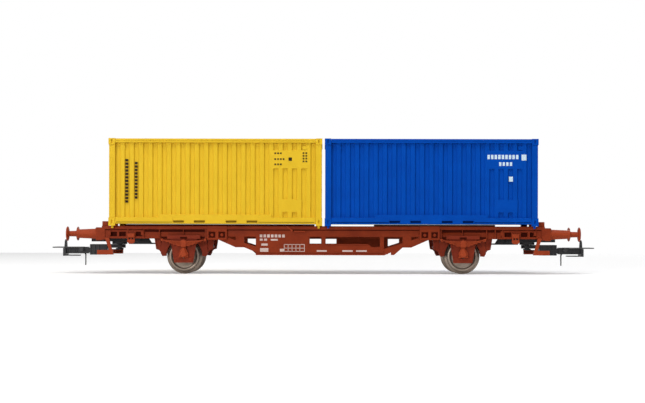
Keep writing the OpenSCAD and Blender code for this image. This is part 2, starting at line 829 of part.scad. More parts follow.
module front_wall() {
    x_face = box_l / 2 - post_inset - 0.15;
    translate([-x_face, 0, rail_z1]) rotate([0, 0, 90])
        linear_extrude(wall_z1 - rail_z1) ribbed(end_half, end_ribs);
}

// Two door leaves with recessed panels, two lock rods each, hinges at the posts
module doors() {
    x_face = box_l / 2 - post_inset - 0.3;
    z0 = rail_z1;
    z1 = wall_z1;
    leaf_t2 = wall_t - 0.1;
    panels = 4;
    panel_h = (z1 - z0 - 1.2) / panels;
    for (m = [0, 1])
        mirror([0, m, 0]) {
            difference() {
                span([x_face - leaf_t2, 0.1, z0], [x_face, end_half, z1]);
                for (i = [0 : panels - 1])
                    span([x_face - 0.3, 0.8, z0 + 1.0 + i * panel_h],
                         [x_face + eps, end_half - 0.7, z0 + 0.2 + (i + 1) * panel_h]);
            }
            for (y = [2.6, 8.6])
                translate([x_face + 0.1, y, z0 + 0.3]) cylinder(h = z1 - z0 - 0.6, r = 0.25);
            for (y = [2.6, 8.6], z = [z0 + 0.8, z0 + 8, z1 - 1.8])
                span([x_face - 0.35, y - 0.6, z], [x_face + 0.3, y + 0.6, z + 0.8]);
        }
}

// Plate that fills the space inside the rails, notched for the corner castings
panel_half = box_l / 2 - post_inset - rail_t - panel_gap;
panel_half_w = wall_out - rail_t - panel_gap;

module inner_panel(z0, z1) {
    notch_w = wall_out - corner_post - panel_gap;
    span([-panel_half, -notch_w, z0], [panel_half, notch_w, z1]);
    span([-rail_half, -panel_half_w, z0], [rail_half, panel_half_w, z1]);
}

module roof() {
    z1 = box_h - post_inset / 2 - 0.25;
    roof_ribs = 9;
    rib_w = 1.2;
    pitch = 2 * panel_half / (roof_ribs + 1);
    inner_panel(z1 - 1.0, z1 - 0.2);
    for (i = [1 : roof_ribs])
        span([-panel_half + i * pitch - rib_w / 2, -panel_half_w + 0.6, z1 - 0.25],
             [-panel_half + i * pitch + rib_w / 2, panel_half_w - 0.6, z1]);
}

module floor_plate() {
    members = 11;
    member_w = 0.6;
    pitch = 2 * rail_half / members;
    inner_panel(rail_z1 - 1.0, rail_z1 - 0.1);
    for (i = [0 : members - 1])
        span([-rail_half + (i + 0.5) * pitch - member_w / 2, -panel_half_w, rail_z0],
             [-rail_half + (i + 0.5) * pitch + member_w / 2, panel_half_w, rail_z1 - 0.9]);
}

module yellow_container_front_frame() {
    place_box("left", box_yellow) mirror([1, 0, 0]) end_frame();
}

module yellow_container_door_frame() {
    place_box("left", box_yellow) end_frame();
}

module yellow_container_side_rails() {
    place_box("left", box_yellow) side_rails();
}

module yellow_container_side_walls() {
    place_box("left", box_yellow) side_walls();
}

module yellow_container_front_wall() {
    place_box("left", box_yellow) front_wall();
}

module yellow_container_doors() {
    place_box("left", box_yellow) doors();
}

module yellow_container_roof() {
    place_box("left", box_yellow) roof();
}

module yellow_container_floor() {
    place_box("left", box_yellow) floor_plate();
}

module blue_container_front_frame() {
    place_box("right", box_blue) mirror([1, 0, 0]) end_frame();
}

module blue_container_door_frame() {
    place_box("right", box_blue) end_frame();
}

module blue_container_side_rails() {
    place_box("right", box_blue) side_rails();
}

module blue_container_side_walls() {
    place_box("right", box_blue) side_walls();
}

module blue_container_front_wall() {
    place_box("right", box_blue) front_wall();
}

module blue_container_doors() {
    place_box("right", box_blue) doors();
}

module blue_container_roof() {
    place_box("right", box_blue) roof();
}

module blue_container_floor() {
    place_box("right", box_blue) floor_plate();
}

deck();
centre_sill();
ballast_plate();
side_frame_near();
side_frame_far();
headstock_left();
headstock_right();
end_stops();
tie_down_brackets();
rope_hooks();
buffers_left();
buffers_right();
steps_left();
steps_right();
axle_guards_left();
axle_guards_right();
axleboxes_left();
axleboxes_right();
leaf_springs_left();
leaf_springs_right();
brake_gear_left();
brake_gear_right();
coupler_mount_left();
coupler_mount_right();
axle_left();
axle_right();
wheels_left();
wheels_right();
coupler_pocket_left();
coupler_pocket_right();
coupler_head_left();
coupler_head_right();
coupler_loop_left();
coupler_loop_right();
yellow_container_front_frame();
yellow_container_door_frame();
yellow_container_side_rails();
yellow_container_side_walls();
yellow_container_front_wall();
yellow_container_doors();
yellow_container_roof();
yellow_container_floor();
blue_container_front_frame();
blue_container_door_frame();
blue_container_side_rails();
blue_container_side_walls();
blue_container_front_wall();
blue_container_doors();
blue_container_roof();
blue_container_floor();
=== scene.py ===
import math

import bmesh
import bpy
from mathutils import Matrix, Vector


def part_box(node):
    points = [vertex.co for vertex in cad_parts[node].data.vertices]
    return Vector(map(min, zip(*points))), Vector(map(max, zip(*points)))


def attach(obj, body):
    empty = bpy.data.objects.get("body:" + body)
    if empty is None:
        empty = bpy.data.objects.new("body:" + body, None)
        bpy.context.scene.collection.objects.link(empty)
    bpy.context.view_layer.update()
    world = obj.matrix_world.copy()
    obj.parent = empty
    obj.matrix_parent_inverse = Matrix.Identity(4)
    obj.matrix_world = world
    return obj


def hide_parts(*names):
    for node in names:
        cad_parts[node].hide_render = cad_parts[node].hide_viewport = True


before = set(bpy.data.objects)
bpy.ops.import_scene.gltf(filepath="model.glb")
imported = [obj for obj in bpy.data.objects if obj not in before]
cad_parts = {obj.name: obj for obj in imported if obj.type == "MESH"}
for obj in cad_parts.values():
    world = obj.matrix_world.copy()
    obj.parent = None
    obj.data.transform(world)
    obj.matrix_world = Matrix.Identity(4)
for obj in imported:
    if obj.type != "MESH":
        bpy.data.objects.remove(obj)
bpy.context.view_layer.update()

MM = 0.001
scene = bpy.context.scene
scene.view_settings.view_transform = "Standard"

# ---------------------------------------------------------------- Camera
# A long lens a little above rail height, level, half a metre from the wagon's middle.
# The picture's frame is slid up so that the horizon lies below its middle.
camera_distance = 0.485
camera_height = 0.0138
camera = bpy.data.objects.new("camera", bpy.data.cameras.new("camera"))
camera.data.sensor_width = 36
camera.data.lens = 80.8
camera.data.shift_x = -0.0014
camera.data.shift_y = 0.0473
camera.data.clip_start = 0.01
camera.data.clip_end = 20
camera.location = (0, -camera_distance, camera_height)
camera.rotation_euler = (math.radians(90), math.radians(-0.12), 0)
scene.collection.objects.link(camera)
scene.camera = camera

# ---------------------------------------------------------------- Table top and studio light
# A white card table under broad soft boxes, in a white room. The card and the room show as
# plain white to the eye and in polished metal, and only the wagon's soft shadow darkens them.
def white_where_seen(nodes, links):
    """1 for what the eye or a mirror sees directly, 0 for the light that falls on things."""
    path = nodes.new("ShaderNodeLightPath")
    either = nodes.new("ShaderNodeMath")
    either.operation = "MAXIMUM"
    links.new(path.outputs["Is Camera Ray"], either.inputs[0])
    links.new(path.outputs["Is Glossy Ray"], either.inputs[1])
    return either.outputs["Value"]


world = bpy.data.worlds.new("studio")
scene.world = world
world.use_nodes = True
nodes, links = world.node_tree.nodes, world.node_tree.links
room = nodes["Background"]
room.inputs["Color"].default_value = (1, 1, 1, 1)
room.inputs["Strength"].default_value = 0.17
seen = nodes.new("ShaderNodeBackground")
seen.inputs["Color"].default_value = (1, 1, 1, 1)
seen.inputs["Strength"].default_value = 1.0
mix = nodes.new("ShaderNodeMixShader")
links.new(white_where_seen(nodes, links), mix.inputs["Fac"])
links.new(room.outputs["Background"], mix.inputs[1])
links.new(seen.outputs["Background"], mix.inputs[2])
links.new(mix.outputs["Shader"], nodes["World Output"].inputs["Surface"])

card = bpy.data.meshes.new("table_top")
form = bmesh.new()
bmesh.ops.create_grid(form, x_segments=1, y_segments=1, size=0.45)
form.to_mesh(card)
form.free()
table_top = bpy.data.objects.new("table_top", card)
scene.collection.objects.link(table_top)
white_card = bpy.data.materials.new("white_card")
white_card.use_nodes = True
nodes, links = white_card.node_tree.nodes, white_card.node_tree.links
surface = nodes["Principled BSDF"]
surface.inputs["Base Color"].default_value = (0.88, 0.88, 0.88, 1)
surface.inputs["Roughness"].default_value = 0.8
surface.inputs["Specular IOR Level"].default_value = 0.0
glow = nodes.new("ShaderNodeEmission")
glow.inputs["Color"].default_value = (0.21, 0.21, 0.21, 1)
add = nodes.new("ShaderNodeAddShader")
links.new(white_where_seen(nodes, links), glow.inputs["Strength"])
links.new(surface.outputs["BSDF"], add.inputs[0])
links.new(glow.outputs["Emission"], add.inputs[1])
links.new(add.outputs["Shader"], nodes["Material Output"].inputs["Surface"])
card.materials.append(white_card)


def soft_box(name, place, aim, size, power):
    lamp = bpy.data.lights.new(name, "AREA")
    lamp.shape = "RECTANGLE"
    lamp.size, lamp.size_y = size
    lamp.energy = power
    rig = bpy.data.objects.new(name, lamp)
    rig.location = place
    rig.rotation_mode = "QUATERNION"
    rig.rotation_quaternion = (Vector(aim) - Vector(place)).to_track_quat("-Z", "Y")
    scene.collection.objects.link(rig)


soft_box("key_box", (-0.42, -0.68, 0.20), (0, 0, 0.02), (0.35, 0.25), 2.6)
soft_box("top_box", (0, -0.32, 0.70), (0, 0, 0.02), (0.9, 0.4), 5.1)
soft_box("back_box", (0.3, 0.65, 0.45), (0, 0, 0.02), (0.5, 0.4), 1.8)

# ---------------------------------------------------------------- Ballast plate
# A flat steel sheet, sheared to size, that gives the light plastic wagon its weight. It
# lies against the underside of the deck, and four screws with slotted heads hold it up.
def corners(node):
    """Lowest and highest corner of a CAD node, in millimetres."""
    low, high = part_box(node)
    return low / MM, high / MM


def soften(form, edges, width, segments=2):
    bmesh.ops.bevel(form, geom=list(edges), offset=width, segments=segments, profile=0.5,
                    affect="EDGES", material=-1, clamp_overlap=True)


def block(form, low, high, edge=0.08):
    """Box between two corners, in millimetres, its edges rounded."""
    low, high = Vector(low), Vector(high)
    shape = Matrix.Translation((low + high) / 2) @ Matrix.Diagonal((*(high - low), 1))
    made = bmesh.ops.create_cube(form, size=1, matrix=shape)
    soften(form, {e for v in made["verts"] for e in v.link_edges}, edge)


def rod(form, start, end, radius, tip=None, steps=24, edge=0.0):
    """Round bar between two points, in millimetres. tip is its radius at the end."""
    start, end = Vector(start), Vector(end)
    turn = (end - start).to_track_quat("Z", "Y").to_matrix().to_4x4()
    made = bmesh.ops.create_cone(form, cap_ends=True, segments=steps, radius1=radius,
                                 radius2=radius if tip is None else tip, depth=(end - start).length,
                                 matrix=Matrix.Translation((start + end) / 2) @ turn)
    if edge:
        soften(form, {e for v in made["verts"] for e in v.link_edges
                      if e.calc_face_angle(0) > math.radians(50)}, edge)


def twin(form, flip):
    """Adds the mirror image of all that is drawn so far. flip holds -1 for the axis that turns over."""
    copy = bmesh.ops.duplicate(form, geom=form.verts[:] + form.edges[:] + form.faces[:])
    bmesh.ops.scale(form, vec=flip, verts=[v for v in copy["geom"] if isinstance(v, bmesh.types.BMVert)])
    bmesh.ops.reverse_faces(form, faces=[f for f in copy["geom"] if isinstance(f, bmesh.types.BMFace)])


def place(name, form, finish, body, slot, stands_for=(), shift=(0, 0, 0), flip=False):
    """Makes a piece of the model from a form in millimetres, riding on its body.
    flip turns a piece that is drawn at the +X end over to the -X end."""
    if flip:
        bmesh.ops.scale(form, vec=(-1, 1, 1), verts=form.verts)
        bmesh.ops.reverse_faces(form, faces=form.faces)
    bmesh.ops.translate(form, vec=shift, verts=form.verts)
    bmesh.ops.scale(form, vec=(MM, MM, MM), verts=form.verts)
    bmesh.ops.recalc_face_normals(form, faces=form.faces)
    mesh = bpy.data.meshes.new(name)
    form.to_mesh(mesh)
    form.free()
    mesh.shade_smooth()
    mesh.set_sharp_from_angle(angle=math.radians(50))
    mesh.materials.append(finish)
    piece = bpy.data.objects.new(name, mesh)
    scene.collection.objects.link(piece)
    piece.modifiers.new("true_flats", "WEIGHTED_NORMAL").keep_sharp = True
    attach(piece, body)
    if stands_for:
        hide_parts(*stands_for)
    return piece


def shader_group(name, inputs, outputs):
    """An empty shader group. inputs is {socket: default}, outputs is {socket: kind}."""
    group = bpy.data.node_groups.new(name, "ShaderNodeTree")
    for label, value in inputs.items():
        kind = "NodeSocketColor" if isinstance(value, tuple) else "NodeSocketFloat"
        group.interface.new_socket(label, in_out="INPUT", socket_type=kind).default_value = value
    for label, kind in outputs.items():
        group.interface.new_socket(label, in_out="OUTPUT", socket_type=kind)
    return group.nodes, group.links, group


def noise(nodes, links, coords, scale, detail=3):
    cloud = nodes.new("ShaderNodeTexNoise")
    cloud.inputs["Detail"].default_value = detail
    if isinstance(scale, bpy.types.NodeSocket):
        links.new(scale, cloud.inputs["Scale"])
    else:
        cloud.inputs["Scale"].default_value = scale
    links.new(coords, cloud.inputs["Vector"])
    return cloud.outputs["Fac"]


def remap(nodes, links, value, low, high, start=0.3, stop=0.7):
    """The value from start to stop, spread over low to high."""
    spread = nodes.new("ShaderNodeMapRange")
    spread.inputs["From Min"].default_value = start
    spread.inputs["From Max"].default_value = stop
    for label, level in (("To Min", low), ("To Max", high)):
        if isinstance(level, bpy.types.NodeSocket):
            links.new(level, spread.inputs[label])
        else:
            spread.inputs[label].default_value = level
    links.new(value, spread.inputs["Value"])
    return spread.outputs["Result"]


def blend_colour(nodes, links, share, first, second, way="MIX"):
    blend = nodes.new("ShaderNodeMix")
    blend.data_type = "RGBA"
    blend.blend_type = way
    links.new(share, blend.inputs["Factor"])
    for label, colour in (("A", first), ("B", second)):
        socket = [s for s in blend.inputs if s.name == label and s.type == "RGBA"][0]
        if isinstance(colour, bpy.types.NodeSocket):
            links.new(colour, socket)
        else:
            socket.default_value = colour
    return [s for s in blend.outputs if s.type == "RGBA"][0]


def surface_of(name, group, settings, metallic=0.0, specular=0.5, bump=0.2, depth=0.00002):
    """A material whose colour, roughness and relief come from one shader group."""
    material = bpy.data.materials.new(name)
    material.use_nodes = True
    nodes, links = material.node_tree.nodes, material.node_tree.links
    shader = nodes["Principled BSDF"]
    shader.inputs["Metallic"].default_value = metallic
    shader.inputs["Specular IOR Level"].default_value = specular
    skin = nodes.new("ShaderNodeGroup")
    skin.node_tree = group
    for label, value in settings.items():
        skin.inputs[label].default_value = value
    relief = nodes.new("ShaderNodeBump")
    relief.inputs["Strength"].default_value = bump
    relief.inputs["Distance"].default_value = depth
    links.new(skin.outputs["Colour"], shader.inputs["Base Color"])
    links.new(skin.outputs["Roughness"], shader.inputs["Roughness"])
    links.new(skin.outputs["Height"], relief.inputs["Height"])
    links.new(relief.outputs["Normal"], shader.inputs["Normal"])
    return material


# Rolled sheet: long faint streaks along X, with duller clouds where oil has dried
nodes, links, rolled_sheet = shader_group(
    "rolled_sheet", {"Metal": (0.4, 0.4, 0.4, 1), "Dull": (0.2, 0.2, 0.2, 1)},
    {"Colour": "NodeSocketColor", "Roughness": "NodeSocketFloat", "Height": "NodeSocketFloat"})
given, result = nodes.new("NodeGroupInput"), nodes.new("NodeGroupOutput")
coords = nodes.new("ShaderNodeTexCoord")
stretch = nodes.new("ShaderNodeMapping")
stretch.inputs["Scale"].default_value = (0.03, 1, 1)
links.new(coords.outputs["Object"], stretch.inputs["Vector"])
streaks = noise(nodes, links, stretch.outputs["Vector"], 1800)
clouds = noise(nodes, links, coords.outputs["Object"], 90)
links.new(blend_colour(nodes, links, remap(nodes, links, clouds, 0, 0.7), given.outputs["Metal"],
                       given.outputs["Dull"]), result.inputs["Colour"])
links.new(remap(nodes, links, streaks, 0.28, 0.5), result.inputs["Roughness"])
links.new(streaks, result.inputs["Height"])
ballast_steel = surface_of("ballast_steel", rolled_sheet,
                           {"Metal": (0.42, 0.42, 0.43, 1), "Dull": (0.24, 0.23, 0.22, 1)}, metallic=0.9)

low, high = corners("ballast_plate")
form = bmesh.new()
block(form, low, high, 0.12)
for x in (-52, -20, 20, 52):
    screw = Vector((x, 0, low.z))
    rod(form, screw, screw - Vector((0, 0, 0.55)), 1.5, 1.25, edge=0.12)
place("ballast_sheet", form, ballast_steel, "wagon", "ballast_steel", ["ballast_plate"])

# ---------------------------------------------------------------- Deck and centre sills
# The moulded floor of the wagon with open bays, over two long sills and six cross bearers.
# It is one injection moulding in oxide brown, with two long pads under the containers.
def copy_of(node, edge=0.1, sharper_than=30):
    """A CAD node's own shape, welded, in millimetres, its outer edges broken."""
    form = bmesh.new()
    form.from_mesh(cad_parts[node].data)
    bmesh.ops.scale(form, vec=(1 / MM, 1 / MM, 1 / MM), verts=form.verts)
    bmesh.ops.remove_doubles(form, verts=form.verts, dist=0.002)
    bmesh.ops.dissolve_limit(form, angle_limit=math.radians(0.5), verts=form.verts, edges=form.edges)
    if edge:
        soften(form, [e for e in form.edges if e.calc_face_angle(0) > math.radians(sharper_than)], edge)
    return form


# Moulded skin: fine spark-eroded grain, with faint clouds of shade as the plastic flowed
nodes, links, moulded_skin = shader_group(
    "moulded_skin", {"Tint": (0.5, 0.5, 0.5, 1), "Shade": (0.3, 0.3, 0.3, 1), "Dullness": 0.5, "Grain": 2500.0},
    {"Colour": "NodeSocketColor", "Roughness": "NodeSocketFloat", "Height": "NodeSocketFloat"})
given, result = nodes.new("NodeGroupInput"), nodes.new("NodeGroupOutput")
coords = nodes.new("ShaderNodeTexCoord").outputs["Object"]
grain = noise(nodes, links, coords, given.outputs["Grain"], 2)
clouds = noise(nodes, links, coords, 160, 4)
links.new(blend_colour(nodes, links, remap(nodes, links, clouds, 0, 0.8), given.outputs["Tint"],
                       given.outputs["Shade"]), result.inputs["Colour"])
duller = nodes.new("ShaderNodeMath")
duller.operation = "ADD"
links.new(given.outputs["Dullness"], duller.inputs[0])
links.new(remap(nodes, links, grain, -0.06, 0.06), duller.inputs[1])
links.new(duller.outputs["Value"], result.inputs["Roughness"])
links.new(grain, result.inputs["Height"])


def moulding(name, tint, shade, dullness, grain=2500.0, specular=0.09, bump=0.2):
    return surface_of(name, moulded_skin, {"Tint": (*tint, 1), "Shade": (*shade, 1), "Dullness": dullness,
                                           "Grain": grain}, specular=specular, bump=bump)


frame_plastic = moulding("frame_plastic", (0.237, 0.032, 0.0082), (0.165, 0.02, 0.0056), 0.48)

place("deck_moulding", copy_of("deck", 0.12), frame_plastic, "wagon", "frame_plastic", ["deck"])
place("centre_sill_moulding", copy_of("centre_sill", 0.12), frame_plastic, "wagon", "frame_plastic",
      ["centre_sill"])

# ---------------------------------------------------------------- Side frames
# One moulding a side: a beam with a flange on top, and a truss with queen posts under its
# middle. Thin ribs stiffen the beam over the axles. The far side is the same, turned round.
def slab(form, outline, y0, y1, edge=0.08):
    """Plate from y0 to y1 whose outline lies in the XZ plane."""
    face = form.faces.new([form.verts.new((x, y0, z)) for x, z in outline])
    grown = bmesh.ops.extrude_face_region(form, geom=[face])["geom"]
    verts = [v for v in grown if isinstance(v, bmesh.types.BMVert)]
    bmesh.ops.translate(form, vec=(0, y1 - y0, 0), verts=verts)
    if edge:
        soften(form, {e for v in verts + face.verts[:] for e in v.link_edges
                      if e.calc_face_angle(0) > math.radians(25)}, edge)


def add(form, part, place_at=Matrix.Identity(4)):
    """Puts a finished part into a larger form, and lets the part go."""
    bmesh.ops.transform(part, matrix=place_at, verts=part.verts)
    carrier = bpy.data.meshes.new("carrier")
    part.to_mesh(carrier)
    part.free()
    form.from_mesh(carrier)
    bpy.data.meshes.remove(carrier)


frame_low, frame_high = corners("side_frame_near")
deck_z = frame_high.z
half_w = -frame_low.y
web_y = frame_low.y + 0.3
axle_x = (corners("axle_right")[0].x + corners("axle_right")[1].x) / 2
axle_z = (corners("axle_right")[0].z + corners("axle_right")[1].z) / 2
beam_z = deck_z - 4.1
rib_out = 0.18
bay_depth = 0.5  # the web is thinner over the axles

for side, turn in (("near", 0), ("far", math.pi)):
    form = copy_of(f"side_frame_{side}", 0.1)
    details = bmesh.new()
    # upright ribs and joint lines on the beam: [distance from the middle, width, height above its foot]
    for x, width in ((-53.6, 0.3), (-45.8, 0.22), (-63.9, 0.5), (45.5, 0.22), (53.4, 0.3), (56.2, 0.4), (58.6, 0.35)):
        block(details, (x - width / 2, web_y - rib_out, beam_z + 0.1),
              (x + width / 2, web_y + bay_depth + 0.1, deck_z - 1.05), 0.05)
    # lips along the beam's foot and round the truss's openings
    for x0, x1, z0, z1 in ((4.3, 18.6, 12.22, 12.5), (19.45, 19.75, 7.4, 12.1), (-5.1, -4.8, 7.2, 12.2),
                           (-71.2, -57, beam_z, beam_z + 0.3), (57, 71.2, beam_z, beam_z + 0.3),
                           (0.75, 14.6, 9.55, 9.85), (-22, 19.9, 6.95, 7.1)):
        block(details, (x0, web_y - rib_out, z0), (x1, web_y + 0.1, z1), 0.05)
    # bosses beside the end recesses, and pressed gussets where struts meet the beam
    for x in (58.4, -59.2, 69.2, -69.9):
        block(details, (x - 0.45, web_y - 0.22, beam_z + 1.0), (x + 0.45, web_y + 0.1, beam_z + 2.6), 0.08)
    for m in (-1, 1):
        slab(details, [(m * 34.2, 11.2), (m * 31.2, 11.6), (m * 31.2, 12.9), (m * 34.2, 12.9)],
             web_y - 0.1, web_y + 0.1, 0.05)
    # rounded lip that the top flange ends in
    block(details, (-71.3, -half_w - 0.2, deck_z - 1.15), (71.3, -half_w + 0.2, deck_z - 0.1), 0.16)
    add(form, details, Matrix.Rotation(turn, 4, "Z"))
    place(f"side_frame_moulding_{side}", form, frame_plastic, "wagon", "frame_plastic", [f"side_frame_{side}"])

# ---------------------------------------------------------------- Brake release levers
# A small bent lever with its pull rod on each solid panel, moulded in the lighter red of the
# running gear and pushed into the web.
gear_plastic = moulding("gear_plastic", (0.32, 0.048, 0.014), (0.23, 0.031, 0.009), 0.44)
for side, turn in (("near", 0), ("far", math.pi)):
    form = bmesh.new()
    slab(form, [(-12.1, 15.55), (-11.6, 15.65), (-9.9, 14.3), (-10.3, 13.9)], web_y - 0.85, web_y - 0.55, 0.06)
    rod(form, (-10.3, web_y + 0.2, 14.15), (-10.3, web_y - 0.8, 14.15), 0.3, edge=0.05)
    rod(form, (-9.6, web_y - 0.35, 14.0), (-5.9, web_y - 0.35, 14.0), 0.26, edge=0.05)
    for x in (-9.2, -6.3):
        block(form, (x - 0.15, web_y - 0.35, 13.75), (x + 0.15, web_y + 0.2, 14.25), 0.04)
    bmesh.ops.rotate(form, matrix=Matrix.Rotation(turn, 3, "Z"), verts=form.verts)
    place(f"release_lever_{side}", form, gear_plastic, "wagon", "gear_plastic")

# ---------------------------------------------------------------- Plain marks on the side frames
# White pad print for the wagon's data, left blank: an empty ruled table, two small
# fields and rows of plain dashes. The ink is a few hundredths of a millimetre thick.
white_ink = moulding("white_ink", (0.62, 0.50, 0.46), (0.50, 0.36, 0.32), 0.6)


# Lays thin films on a face: pad print, and the painted shade in recesses and pockets.
def thin_film(form, y, fields, outwards=-1):
    for x0, x1, z0, z1 in fields:
        block(form, (x0, min(y, y + outwards * 0.05), z0), (x1, max(y, y + outwards * 0.05), z1), 0.01)


table_x, table_z, line = (-12.9, -6.3), (7.35, 9.6), 0.2
fields = [(table_x[0], table_x[1], z, z + line) for z in (table_z[0], 8.4, table_z[1])]
fields += [(x, x + line, table_z[0], table_z[1] + line) for x in [table_x[0] + 1.28 * i for i in range(5)] + [table_x[1]]]
fields += [(-14.2, table_x[0], 7.35, 8.3)]
fields += [(-20.3, -18.2, 9.3, 10.0), (-20.7, -18.0, 7.3, 8.5)]
fields += [(-20.8 + 1.22 * i, -19.95 + 1.22 * i, 12.0, 12.95) for i in range(7)]
fields += [(-20.8 + 1.4 * i, -19.8 + 1.4 * i, 10.95, 11.6) for i in range(2)] + [(-17.2, -14.9, 10.95, 11.5)]
fields += [(-2.15, 1.1, 7.35, 7.85), (6.2, 9.6, 7.35, 7.85), (10.7, 14.2, 7.35, 7.85)]
for side, turn in (("near", 0), ("far", math.pi)):
    form = bmesh.new()
    thin_film(form, web_y, fields)
    bmesh.ops.rotate(form, matrix=Matrix.Rotation(turn, 3, "Z"), verts=form.verts)
    place(f"blank_marks_{side}", form, white_ink, "wagon", "frame_plastic")

# ---------------------------------------------------------------- Painted shade in the frame's recesses
# A thin dark brown film that paints in the shade falling in the frame's recesses: in the end windows,
# in the brackets' pockets, under the flange's lip and in the slots over the springs.
painted_recess_shade = moulding("painted_recess_shade", (0.055, 0.006, 0.0025), (0.035, 0.004, 0.002), 0.7, specular=0.03)
pocket_x = 34.75
for side, turn in (("near", 0), ("far", math.pi)):
    form = bmesh.new()
    flange_z = deck_z - 1.1
    for m in (-1, 1):
        windows = [(m * x - 1.0, m * x + 1.0, beam_z + 0.75, beam_z + 2.1) for x in (60.3, 65.7, 68.6)]
        thin_film(form, web_y + 0.75, windows)
        pockets = [(m * pocket_x + x - 1.0, m * pocket_x + x + 1.0, beam_z + 0.3, beam_z + 2.15) for x in (-1.6, 1.6)]
        thin_film(form, -half_w - 0.1, pockets)
        bay_run = sorted((m * 38.9, m * 58.5))
        slots = [(m * axle_x + x - 0.95, m * axle_x + x + 0.95, beam_z + 0.02, beam_z + 0.6) for x in (-6.5, 6.5)]
        thin_film(form, web_y + bay_depth, [(*bay_run, flange_z - 0.9, flange_z)] + slots)
        thin_film(form, -half_w - 0.3, [(m * axle_x - 1.15, m * axle_x + 1.15, beam_z - 0.1, beam_z + 0.55)])
        outer_run = sorted((m * 58.8, m * 71.2))
        thin_film(form, web_y, [(*outer_run, flange_z - 0.3, flange_z)])
    thin_film(form, web_y, [(-31.3, 31.3, flange_z - 0.35, flange_z)])
    bmesh.ops.rotate(form, matrix=Matrix.Rotation(turn, 3, "Z"), verts=form.verts)
    place(f"recess_painted_shade_{side}", form, painted_recess_shade, "wagon", "frame_plastic")

# ---------------------------------------------------------------- Headstocks and end stops
# The wagon's end beams, moulded with the square base plates that the buffers stand on, each
# base with four bolt heads. Upright stops on the deck's corners keep the containers in place.
for side, sign in (("left", -1), ("right", 1)):
    form = copy_of(f"headstock_{side}", 0.12)
    buffer_low, buffer_high = corners(f"buffers_{side}")
    head_d = buffer_high.z - buffer_low.z
    buffer_z = (buffer_low.z + buffer_high.z) / 2
    buffer_y = buffer_high.y - head_d / 2
    base_x = max(abs(corners(f"headstock_{side}")[0].x), abs(corners(f"headstock_{side}")[1].x))
    for m in (-1, 1):
        for dy in (-1.5, 1.5):
            for dz in (-1.6, 1.6):
                bolt = Vector((sign * base_x, m * (buffer_y + dy), buffer_z + dz))
                rod(form, bolt, bolt + Vector((sign * 0.25, 0, 0)), 0.28, 0.24, steps=6)
    place(f"headstock_moulding_{side}", form, frame_plastic, "wagon", "frame_plastic", [f"headstock_{side}"])

form = copy_of("end_stops", 0.12)
place("end_stop_blocks", form, frame_plastic, "wagon", "frame_plastic", ["end_stops"])

# ---------------------------------------------------------------- Tie-down brackets
# Four moulded pads on the side beams where straps were hooked in, each with two
# pockets under a plain band. The pockets' darkness is painted shade, laid with the frame's recesses.
form = copy_of("tie_down_brackets", 0.1)
low, high = corners("tie_down_brackets")
bracket_x = high.x - 3.25
for x in (-1.6, 1.6):
    rod(form, (bracket_x + x, half_w + 0.1, beam_z + 1.2), (bracket_x + x, half_w + 0.35, beam_z + 1.2), 0.55, 0.45,
        steps=16, edge=0.06)
    for flips in ((-1, 1, 1), (1, -1, 1), (-1, -1, 1)):
        spot = Vector((bracket_x + x, half_w + 0.1, beam_z + 1.2)) * Vector(flips)
        rod(form, spot, spot + Vector((0, 0.25 * flips[1], 0)), 0.55, 0.45, steps=16, edge=0.06)
place("strap_brackets", form, frame_plastic, "wagon", "frame_plastic", ["tie_down_brackets"])

# ---------------------------------------------------------------- Rope hooks
# Four stout hooks under the ends of the beams for shunting ropes, moulded in the lighter red
# of the running gear: a lug above, two slots, and a rounded bow below.
low, high = corners("rope_hooks")
hook_x = high.x - 1.3
hook_y = (high.y - 0.9, high.y)
form = bmesh.new()
slab(form, [(hook_x - 1.2, high.z), (hook_x + 1.2, high.z), (hook_x + 1.1, high.z - 1.3), (hook_x - 1.1, high.z - 1.3)],
     hook_y[0], hook_y[1], 0.15)
for x in (-0.98, 0.0, 0.98):
    block(form, (hook_x + x - 0.17, hook_y[0] + 0.15, low.z + 0.9), (hook_x + x + 0.17, hook_y[1] - 0.1, high.z - 1.1), 0.08)
bow = [(hook_x + 1.3 * math.cos(math.radians(a)), low.z + 0.95 + 0.95 * math.sin(math.radians(a)))
       for a in range(0, -181, -15)]
slab(form, [(hook_x - 1.15, low.z + 1.45), (hook_x + 1.15, low.z + 1.45)] + bow, hook_y[0], hook_y[1], 0.2)
twin(form, (-1, 1, 1))
twin(form, (1, -1, 1))
place("shunting_hooks", form, gear_plastic, "wagon", "gear_plastic", ["rope_hooks"])

# ---------------------------------------------------------------- Buffers
# Each is moulded in one piece: a tapered barrel on the base plate, a thin shank, and a
# round head with a slightly domed face.
def turned(form, profile, place_at, steps=48):
    """Lathe-turned shape about X. profile is [distance along the axis, radius]; place_at moves it home."""
    lathe = bmesh.new()
    verts = [lathe.verts.new((along, 0, radius)) for along, radius in profile]
    edges = [lathe.edges.new(pair) for pair in zip(verts, verts[1:])]
    bmesh.ops.spin(lathe, geom=verts + edges, cent=(0, 0, 0), axis=(1, 0, 0), dvec=(0, 0, 0),
                   angle=math.tau, steps=steps, use_merge=True)
    bmesh.ops.remove_doubles(lathe, verts=lathe.verts, dist=0.0005)
    add(form, lathe, place_at)


